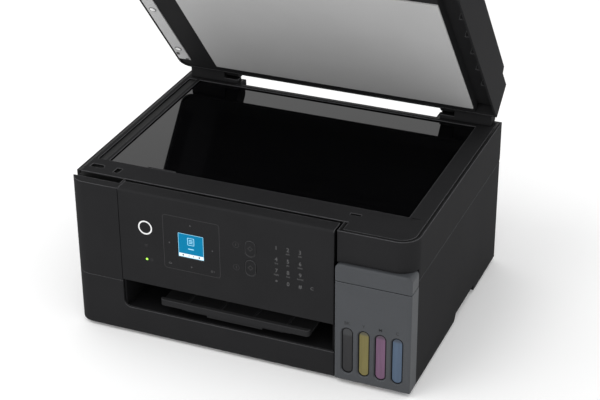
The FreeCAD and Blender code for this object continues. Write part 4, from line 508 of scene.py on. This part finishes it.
def lettering(name, marks, y, material, body="control_panel"):
    """Printed characters as one mesh: each mark is its text, centre and height."""
    stroke_growth, curve_steps = 0.012, 3
    builder = bmesh.new()
    for text, x, z, height in marks:
        curve = bpy.data.curves.new(name, "FONT")
        curve.body = text
        curve.size = height
        curve.align_x = "CENTER"
        curve.align_y = "CENTER"
        curve.extrude = PRINT / 2
        curve.offset = height * stroke_growth
        curve.resolution_u = curve_steps
        source = bpy.data.objects.new(name, curve)
        mesh = bpy.data.meshes.new_from_object(source)
        mesh.transform(Matrix.Translation((x, y - PRINT / 2, z)) @ Matrix.Rotation(QUARTER, 4, "X"))
        builder.from_mesh(mesh)
        bpy.data.meshes.remove(mesh)
        bpy.data.objects.remove(source)
        bpy.data.curves.remove(curve)
    return finish_piece(name, builder, material, body)


def middle(low, high):
    """Centre of a box as seen from the front."""
    return (low.x + high.x) / 2, (low.z + high.z) / 2


# Control panel: power key and its lamp

panel_low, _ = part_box("control_panel")
face = panel_low.y
button_low, button_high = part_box("power_button")
button_x, button_z = middle(button_low, button_high)
lcd_low, lcd_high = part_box("lcd_module")
lcd_x, lcd_z = middle(lcd_low, lcd_high)

POWER_RING = millimetres(7.9, 6.4)
LAMP_RISE, LAMP_RADIUS = millimetres(30.5, 1.25)
LAMP_MARK_X, *LAMP_MARK_RING = millimetres(5.5, 1.5, 1.1)
# Lines under the power key: drop, width, height and corner radius
POWER_LINES = millimetres(20, 4, 0.5, 0.2), millimetres(21.6, 2.4, 0.5, 0.2)
lamp_z = panel_low.z + LAMP_RISE
printed("power_ring", [ring(button_x, button_z, *POWER_RING)], button_low.y, WHITE_PRINT, "power_button")
printed("power_lamp", [circle(button_x, lamp_z, LAMP_RADIUS, count=24)], face, LAMP_GREEN)
power_marks = [ring(button_x + LAMP_MARK_X, lamp_z, *LAMP_MARK_RING, count=24)]
power_marks += [rounded(button_x, button_z - drop, *size, steps=2) for drop, *size in POWER_LINES]
printed("power_marks", power_marks, face, DIM_PRINT)

# Menu field round the display
MENU_OUTER, MENU_INNER = millimetres(63, 62, 3), millimetres(62.2, 61.2, 2.6)
MENU_SHIFT_X, MENU_SHIFT_Z = millimetres(0.7, 0.8)
ARROW_REACH, ARROW_SIZE = millimetres(24, 1.1)
BACK_OUTER, BACK_INNER = millimetres(3.2, 2.0, 0.9), millimetres(2.4, 1.2, 0.5)
HELP_SHIFT, *HELP_RING = millimetres(-1.2, 1.1, 0.75)
HELP_BAR_SHIFT, *HELP_BAR = millimetres(1.3, 0.4, 2.2, 0.15)
printed("menu_outline", [border(lcd_x + MENU_SHIFT_X, lcd_z + MENU_SHIFT_Z, MENU_OUTER, MENU_INNER)], face,
        DIM_PRINT)
printed("menu_arrows", [
    arrow(lcd_x + ARROW_REACH * math.cos(turn), lcd_z + ARROW_REACH * math.sin(turn), ARROW_SIZE, turn)
    for turn in (0, QUARTER, math.pi, math.pi * 1.5)], face, FAINT_PRINT)
corner_z = lcd_z - ARROW_REACH
printed("menu_corner_marks", [
    border(lcd_x - ARROW_REACH, corner_z, BACK_OUTER, BACK_INNER),
    ring(lcd_x + ARROW_REACH + HELP_SHIFT, corner_z, *HELP_RING, count=20),
    rounded(lcd_x + ARROW_REACH + HELP_BAR_SHIFT, corner_z, *HELP_BAR, steps=2)], face, FAINT_PRINT)

# Side keys, printed, and start keys, which move
SIDE_KEY_X = panel_low.x + 130.5 * MM
SIDE_KEY_RISES = {"info": 69 * MM, "back": 43 * MM}
SIDE_KEY_RING, SIDE_KEY_BAR = millimetres(3.4, 3.1), millimetres(0.6, 3.0, 0.25)
for label, rise in SIDE_KEY_RISES.items():
    key_z = panel_low.z + rise
    printed(f"{label}_key_mark", [
        ring(SIDE_KEY_X, key_z, *SIDE_KEY_RING),
        rounded(SIDE_KEY_X, key_z, *SIDE_KEY_BAR, steps=2)], face, DIM_PRINT)

KEY_OUTER, KEY_INNER = millimetres(11.6, 17.6, 5.7), millimetres(10.9, 16.9, 5.4)
KEY_DIAMOND = millimetres(2.9, 2.2)
for label in ("copy_key", "stop_key"):
    low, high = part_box(label)
    printed(f"{label}_outline", [
        border(*middle(low, high), KEY_OUTER, KEY_INNER),
        ring(*middle(low, high), *KEY_DIAMOND, count=4)], low.y, DIM_PRINT, label)

# Number keys with the usual letters under the digits
COLUMNS = millimetres(174.2, 186.7, 199.7)
ROWS = millimetres(74.5, 61.5, 48.5, 35.5)
DIGITS = ("123", "456", "789", "*0#")
LETTERS = (("", "ABC", "DEF"), ("GHI", "JKL", "MNO"), ("PQRS", "TUV", "WXYZ"), ("", "", ""))
DIGIT_HEIGHT, LETTER_HEIGHT, LETTER_DROP = millimetres(6.2, 2.3, 4.7)
CLEAR_KEY_X, CLEAR_KEY_RISE, CLEAR_KEY_HEIGHT = millimetres(212.2, 0.6, 4.8)
key_marks = []
for row, digits, words in zip(ROWS, DIGITS, LETTERS):
    for column, digit, word in zip(COLUMNS, digits, words):
        x, z = panel_low.x + column, panel_low.z + row
        key_marks.append((digit, x, z, DIGIT_HEIGHT))
        if word:
            key_marks.append((word, x, z - LETTER_DROP, LETTER_HEIGHT))
key_marks.append(("C", panel_low.x + CLEAR_KEY_X, panel_low.z + ROWS[-1] + CLEAR_KEY_RISE, CLEAR_KEY_HEIGHT))
lettering("number_keys", key_marks, face, FAINT_PRINT)

# Lit display: blue field, sheet icon, pale menu bar and a bright edge
SCREEN_W, SCREEN_H, BAR_H = millimetres(27.6, 26.6, 3.8)
SCREEN_CORNER, BAR_PLAY = millimetres(0.2, 0.1)
ICON_RISE = 3.4 * MM
ICON_OUTER, ICON_INNER = millimetres(7.6, 8.6, 0.8), millimetres(6.4, 7.4, 0.5)
ICON_LINE, ICON_LINE_RISES = millimetres(4.2, 0.7, 0.3), millimetres(1.6, 0, -1.6)
CAPTION_DROP, *CAPTION = millimetres(5.2, 6.5, 1.1, 0.5)
screen_y = lcd_low.y
field_z = lcd_z + BAR_H / 2
bar_z = lcd_z - (SCREEN_H - BAR_H) / 2
icon_z = field_z + ICON_RISE
screen_field = rounded(lcd_x, field_z, SCREEN_W, SCREEN_H - BAR_H, SCREEN_CORNER, steps=2)
printed("screen_field", [screen_field], screen_y, SCREEN_BLUE)
screen_bar = rounded(lcd_x, bar_z, SCREEN_W, BAR_H - BAR_PLAY, SCREEN_CORNER, steps=2)
printed("screen_bar", [screen_bar], screen_y, SCREEN_WHITE)
icon_shapes = [border(lcd_x, icon_z, ICON_OUTER, ICON_INNER)]
icon_shapes += [rounded(lcd_x, icon_z + rise, *ICON_LINE, steps=2) for rise in ICON_LINE_RISES]
icon_shapes += [rounded(lcd_x, field_z - CAPTION_DROP, *CAPTION, steps=3)]
printed("screen_icon", icon_shapes, screen_y - PRINT, SCREEN_ICON)
# Place, radius and number of points of each mark on the bar
BAR_DOTS = ((-9, 0.9, 20), (-2.5, 0.6, 16), (2.5, 0.6, 16), (9, 0.9, 20))
bar_marks = [circle(lcd_x + x * MM, bar_z, radius * MM, count) for x, radius, count in BAR_DOTS]
printed("screen_bar_marks", bar_marks, screen_y - PRINT, DIM_PRINT)
EDGE_OUT, EDGE_IN, EDGE_CORNER = millimetres(0.5, 0.3, 0.4)
edge_outer = (SCREEN_W + EDGE_OUT, SCREEN_H + EDGE_OUT, EDGE_CORNER)
edge_inner = (SCREEN_W - EDGE_IN, SCREEN_H - EDGE_IN, SCREEN_CORNER)
printed("screen_edge", [border(lcd_x, lcd_z, edge_outer, edge_inner, steps=2)], screen_y - PRINT, SCREEN_ICON)


# Ink tanks: letters above the windows, and dark bands round the inks just in front of the tank faces, painted
# shade of the windows' inner walls

cover_low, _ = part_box("tank_cover")
INK_LETTERS = {"black": "BK", "yellow": "Y", "magenta": "M", "cyan": "C"}
INK_LETTER_RISE, INK_LETTER_HEIGHT = millimetres(68.5, 5)
ink_marks = []
for ink, letter in INK_LETTERS.items():
    low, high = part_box(f"ink_tank_{ink}")
    ink_marks.append((letter, middle(low, high)[0], cover_low.z + INK_LETTER_RISE, INK_LETTER_HEIGHT))
lettering("ink_letters", ink_marks, cover_low.y, print_ink("InkLetters", linear(34, 35, 37)), "chassis")

WINDOW_W, WINDOW_H, WINDOW_RISE = millimetres(12, 53.4, 36)
SHADE_BAND_DEPTH = 0.5 * MM
SHADE_BAND_STEPS = 10
# For the outer and the inner outline: how much smaller than the window, and how much off its corner radius
SHADE_BAND_CUTS = millimetres(0.7, 0.4), millimetres(2.0, 1.05)
for ink in INK_LETTERS:
    low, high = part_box(f"ink_tank_{ink}")
    outlines = [(WINDOW_W - cut, WINDOW_H - cut, WINDOW_W / 2 - off) for cut, off in SHADE_BAND_CUTS]
    printed(f"window_shade_band_{ink}", [
        border(middle(low, high)[0], cover_low.z + WINDOW_RISE, *outlines, steps=SHADE_BAND_STEPS)],
        low.y, LOOKS["inner_plastic"], "chassis", SHADE_BAND_DEPTH)


# Lid: white pads on the feeder strip, dark rings round them, and dark slots at the strip's rear end, both painted
# shade

lid_joint = next(joint for joint in frame["joints"] if joint["name"] == "lid_hinge")
lid_lean = math.radians(lid_joint["range_deg"][0])
lid_frame = Matrix.Translation(lid_joint["pos_m"]) @ Matrix.Rotation(lid_lean, 4, "X")
face_down = Matrix.Rotation(math.pi, 4, "X")
STRIP_FACE, PAD_X, PAD_RADIUS, PAD_RISE, PAD_GAP = millimetres(14.5, -177.05, 3.3, 0.4, 0.7)
PAD_PLACES = millimetres(-55.5, -143.5, -231.5)
# Centre, size and corner radius of each slot
STRIP_SLOTS = millimetres(-173.2, -33, 4.2, 1.6, 0.5), millimetres(-181.2, -44, 3.4, 5, 1)

builder = bmesh.new()
for pad_y in PAD_PLACES:
    place = lid_frame @ Matrix.Translation((PAD_X, pad_y, -STRIP_FACE)) @ face_down
    add_dome(builder, place, PAD_RADIUS, PAD_RISE)
white_pads = moulded("WhitePads", linear(245, 245, 245), roughness=0.35, specular=0.3, edge=1.0)
pads = finish_piece("strip_pads", settle(builder), white_pads, "lid")
pads.data.shade_smooth()
pads.visible_glossy = False

strip_face = lid_frame @ Matrix.Rotation(-QUARTER, 4, "X")
# Dark rings round the pads and dark slots: painted shade
strip_shade_marks = [ring(PAD_X, pad_y, PAD_RADIUS + PAD_GAP, PAD_RADIUS) for pad_y in PAD_PLACES]
strip_shade_marks += [rounded(*slot, steps=3) for slot in STRIP_SLOTS]
printed("strip_shade_marks", strip_shade_marks, STRIP_FACE, DARK_PRINT_AND_SHADE, "lid", -PRINT, strip_face)


# Scanner: tab and corner mark at the glass, and dark sheets in the frame's sockets, over the frame's groove and
# along the front wall, all painted shade

_, frame_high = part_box("scanner_frame")
# Places a shape drawn in plan on top of the frame, with depths below it positive
upwards = Matrix.Translation((0, 0, frame_high.z)) @ Matrix.Rotation(-QUARTER, 4, "X")
# Centre, size and corner radius of the tab and of the mark's two lines; the arrow points to the left
TAB = millimetres(-106, -117.6, 32, 2.6, 0.6)
TAB_SINK = 0.34 * MM
CORNER_ARROW = millimetres(168.6, -118.8, 2.4)
CORNER_LINES = millimetres(172.6, -118.8, 5.4, 0.9, 0.3), millimetres(167.4, -122.6, 4.6, 0.7, 0.3)
printed("glass_tab", [rounded(*TAB)], TAB_SINK, LOOKS["black_plastic"], "scanner",
        TAB_SINK + PRINT, upwards)
corner_mark = [arrow(*CORNER_ARROW, turn=math.pi)] + [rounded(*line, steps=2) for line in CORNER_LINES]
printed("corner_arrow", corner_mark, 0, DARK_PRINT_AND_SHADE, "scanner", PRINT, upwards)

# Dark sheets in the sockets for the lid's hook, latch and clip, painted shade deep in them: centre, size and
# corner radius of each
SOCKETS = ((-171.2, -134, 14.6, 7, 2.9), (-147, -136, 6, 10, 0.3), (113.8, -132.5, 11, 3, 0.3))
SOCKET_SINK, SHADE_WALL, SHADE_WALL_PLAY, SMALLEST_RADIUS = millimetres(2.5, 0.25, 0.1, 0.1)
builder = bmesh.new()
for x, y, width, depth, radius in (millimetres(*socket) for socket in SOCKETS):
    outer = rounded(x, y, width - SHADE_WALL_PLAY, depth - SHADE_WALL_PLAY, radius)
    inner = rounded(x, y, width - 2 * SHADE_WALL, depth - 2 * SHADE_WALL, max(radius - SHADE_WALL, SMALLEST_RADIUS))
    add_frame(builder, outer, inner, SOCKET_SINK - PRINT, SOCKET_SINK - 3 * PRINT)
    add_plate(builder, inner, SOCKET_SINK, PRINT)
finish_piece("socket_shade_sheets", settle(builder), DARK_PRINT_AND_SHADE, "scanner", upwards)


def outer_loop(node, height):
    """Outer boundary of a node's level faces at a height, point after point."""
    level_normal, level_play, digits = 0.99, 0.05 * MM, 6
    mesh = nodes[node].data
    uses = {}
    for polygon in mesh.polygons:
        corners = [mesh.vertices[index].co for index in polygon.vertices]
        if polygon.normal.z < level_normal or any(abs(corner.z - height) > level_play for corner in corners):
            continue
        points = [(round(corner.x, digits), round(corner.y, digits)) for corner in corners]
        for pair in following(points):
            uses[frozenset(pair)] = uses.get(frozenset(pair), 0) + 1
    beside = {}
    for start, end in [tuple(pair) for pair, count in uses.items() if count == 1 and len(pair) == 2]:
        beside.setdefault(start, []).append(end)
        beside.setdefault(end, []).append(start)
    loop = [min(beside)]
    while True:
        ahead = [point for point in sorted(beside[loop[-1]]) if point not in loop]
        if not ahead:
            return loop
        loop.append(ahead[0])


def add_outline_strip(builder, loop, offsets, depths, skip):
    """A strip beside a closed outline, left out along the stretches that skip names."""
    if sum(a[0] * b[1] - b[0] * a[1] for a, b in following(loop)) < 0:
        loop = loop[::-1]
    inside, outside = offsets
    top, bottom = depths
    section = ((inside, top), (outside, top), (outside, bottom), (inside, bottom))
    rings = []
    for before, (point, after) in zip(loop[-1:] + loop[:-1], following(loop)):
        sides = [Vector((end[1] - start[1], start[0] - end[0])).normalized()
                 for start, end in ((before, point), (point, after))]
        outward = (sides[0] + sides[1]) / (1 + sides[0].dot(sides[1]))
        rings.append([builder.verts.new((point[0] + outward.x * offset, depth, point[1] + outward.y * offset))
                      for offset, depth in section])
    kept = [not (skip(start) and skip(end)) for start, end in following(loop)]
    for k, (near, far) in enumerate(following(rings)):
        if not kept[k]:
            continue
        for (near_here, near_next), (far_here, far_next) in zip(following(near), following(far)):
            builder.faces.new((near_here, near_next, far_next, far_here))
        if not kept[k - 1]:
            builder.faces.new(near)
        if not kept[(k + 1) % len(kept)]:
            builder.faces.new(far)
    bmesh.ops.delete(builder, geom=[vert for vert in builder.verts if not vert.link_faces], context="VERTS")


# Flat dark strip over the groove between the frame and the case, except along the front: painted shade in the
# groove
FRAME_FRONT, FRONT_PLAY = millimetres(-149, 0.2)
GROOVE_SHADE_REACH = millimetres(0.15, 1.9)
builder = bmesh.new()
add_outline_strip(builder, outer_loop("scanner_frame", frame_high.z), GROOVE_SHADE_REACH, (-PRINT, PRINT),
         lambda point: abs(point[1] - FRAME_FRONT) < FRONT_PLAY)
finish_piece("frame_groove_shade", settle(builder), DARK_PRINT_AND_SHADE, "scanner", upwards)

# Dark strip along the scanner's front wall, behind the panel's slit: painted shade of the slit
SHADE_STRIP_X, SHADE_STRIP_DROP, SHADE_STRIP_WIDTH, SHADE_STRIP_HEIGHT = millimetres(-38.5, 0.9, 289, 14)
SHADE_STRIP_CORNER, SHADE_STRIP_DEPTH = millimetres(0.5, 0.15)
shade_strip_top = frame_high.z - SHADE_STRIP_DROP
printed("front_shade_strip", [rounded(SHADE_STRIP_X, shade_strip_top - SHADE_STRIP_HEIGHT / 2, SHADE_STRIP_WIDTH, SHADE_STRIP_HEIGHT, SHADE_STRIP_CORNER)],
        FRAME_FRONT, DARK_PRINT_AND_SHADE, "scanner", SHADE_STRIP_DEPTH)


# Rear wall: ribs of the vent, and screws with cross slots drawn as dark crosses, painted shade of the slots

_, housing_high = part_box("outer_housing")
rearwards = Matrix.Translation((0, housing_high.y, 0)) @ Matrix.Rotation(math.pi, 4, "Z")
outwards = rearwards @ Matrix.Rotation(QUARTER, 4, "X")
VENT_RIBS = 11
# In millimetres: the first rib and the pitch, then each rib's height on the wall, size and corner radius
VENT_START, VENT_PITCH = -122, 4.2
RIB = (34, 1.8, 30, 0.85)
RIB_DEPTH = 1.0 * MM
printed("vent_ribs", [rounded(*millimetres(VENT_START + VENT_PITCH * k, *RIB)) for k in range(VENT_RIBS)],
        0, LOOKS["black_plastic"], "chassis", RIB_DEPTH, rearwards)

HEAD_RADIUS, HEAD_RISE, SLOT_FACE, SLOT_DEPTH = millimetres(3.1, 1.1, -1.02, 0.12)
# In millimetres: places of the screws, and size and corner radius of both slots
SCREWS = [(side * x, z) for x, z in ((176, 114), (176, 12), (70, 22)) for side in (-1, 1)]
SLOT_SIZES = ((3.4, 0.8, 0.3), (0.8, 3.4, 0.3))
heads = bmesh.new()
slots = bmesh.new()
for x, z in SCREWS:
    add_dome(heads, outwards @ Matrix.Translation(Vector((x, z, 0)) * MM), HEAD_RADIUS, HEAD_RISE)
    for size in SLOT_SIZES:
        add_plate(slots, rounded(*millimetres(x, z, *size), steps=2), SLOT_FACE, SLOT_DEPTH)
screw_heads = finish_piece("rear_screws", settle(heads), LOOKS["steel"], "chassis")
screw_heads.data.shade_smooth()
finish_piece("screw_slot_shades", settle(slots), DARK_PRINT_AND_SHADE, "chassis", rearwards)


# Stage and light

FLOOR_SIZE = 30
FLOOR_LIFT = 0.06
WORLD_LEVEL, SEEN_LEVEL = 0.95, 1.0
# Name, place, aim, size and power in watts
LIGHTS = (
    ("KeyLight", (-0.8, -1.2, 2.4), (0, 0, 0.1), 1.2, 11),
    ("FrontLight", (-0.3, -2.6, 0.9), (0, 0, 0.2), 1.6, 5),
    ("LeftLight", (-2.1, -0.7, 1.0), (0, 0, 0.1), 1.2, 6),
    ("RightLight", (1.5, -2.2, 0.8), (0, 0, 0.1), 1.2, 4),
)


def seen_rays(tree):
    """One for rays from the camera, a mirror or through glass, and zero for the light on surfaces."""
    rays = tree.nodes.new("ShaderNodeLightPath")
    total = rays.outputs["Is Camera Ray"]
    for kind in ("Is Glossy Ray", "Is Transmission Ray"):
        either = tree.nodes.new("ShaderNodeMath")
        either.operation = "MAXIMUM"
        tree.links.new(total, either.inputs[0])
        tree.links.new(rays.outputs[kind], either.inputs[1])
        total = either.outputs["Value"]
    return total


def pale_floor():
    """White paper floor, lifted a little towards the white background where it is seen."""
    made = Material("Floor")
    made.feed(Base_Color=made.ramp(made.noise(size=0.8, detail=1.0), neutral(0.95), neutral(0.97)),
              Emission_Strength=made.maths("MULTIPLY", seen_rays(made.tree), FLOOR_LIFT))
    made.set(Roughness=0.9, Specular_IOR_Level=0.05, Emission_Color=WHITE)
    return made.data


def area_light(name, place, aim, size, power):
    """A round lamp that shines from its place towards its aim."""
    data = bpy.data.lights.new(name, "AREA")
    data.shape = "DISK"
    data.size = size
    data.energy = power
    lamp = bpy.data.objects.new(name, data)
    lamp.location = place
    lamp.rotation_euler = (Vector(aim) - Vector(place)).to_track_quat("-Z", "Y").to_euler()
    bpy.context.scene.collection.objects.link(lamp)


bpy.ops.mesh.primitive_plane_add(size=FLOOR_SIZE)
floor = bpy.context.object
floor.name = "floor"
floor.data.materials.append(pale_floor())

for light in LIGHTS:
    area_light(*light)

world = bpy.data.worlds.new("Studio")
bpy.context.scene.world = world
world.use_nodes = True
tree = world.node_tree
sky = tree.nodes["Background"]
level = fill(tree.nodes.new("ShaderNodeMapRange"), To_Min=WORLD_LEVEL, To_Max=SEEN_LEVEL)
tree.links.new(seen_rays(tree), level.inputs["Value"])
tree.links.new(level.outputs["Result"], sky.inputs["Strength"])
fill(sky, Color=WHITE)


# Camera, solved from the body's edges in the photo

CAMERA_PLACE = Vector((0.60767, -1.45606, 0.95395))
CAMERA_YAW = math.radians(22.674)
CAMERA_PITCH = math.radians(28.443)
CAMERA_ROLL = math.radians(-0.394)
CAMERA_LENS = 98.99
CAMERA_SENSOR = 36

camera_data = bpy.data.cameras.new("Camera")
camera_data.sensor_fit = "HORIZONTAL"
camera_data.sensor_width = CAMERA_SENSOR
camera_data.lens = CAMERA_LENS
camera = bpy.data.objects.new("Camera", camera_data)
bpy.context.scene.collection.objects.link(camera)
turn = Matrix.Rotation(CAMERA_YAW, 4, "Z") @ Matrix.Rotation(QUARTER - CAMERA_PITCH, 4, "X")
camera.matrix_world = Matrix.Translation(CAMERA_PLACE) @ turn @ Matrix.Rotation(CAMERA_ROLL, 4, "Z")
bpy.context.scene.camera = camera
bpy.context.scene.view_settings.view_transform = "Standard"
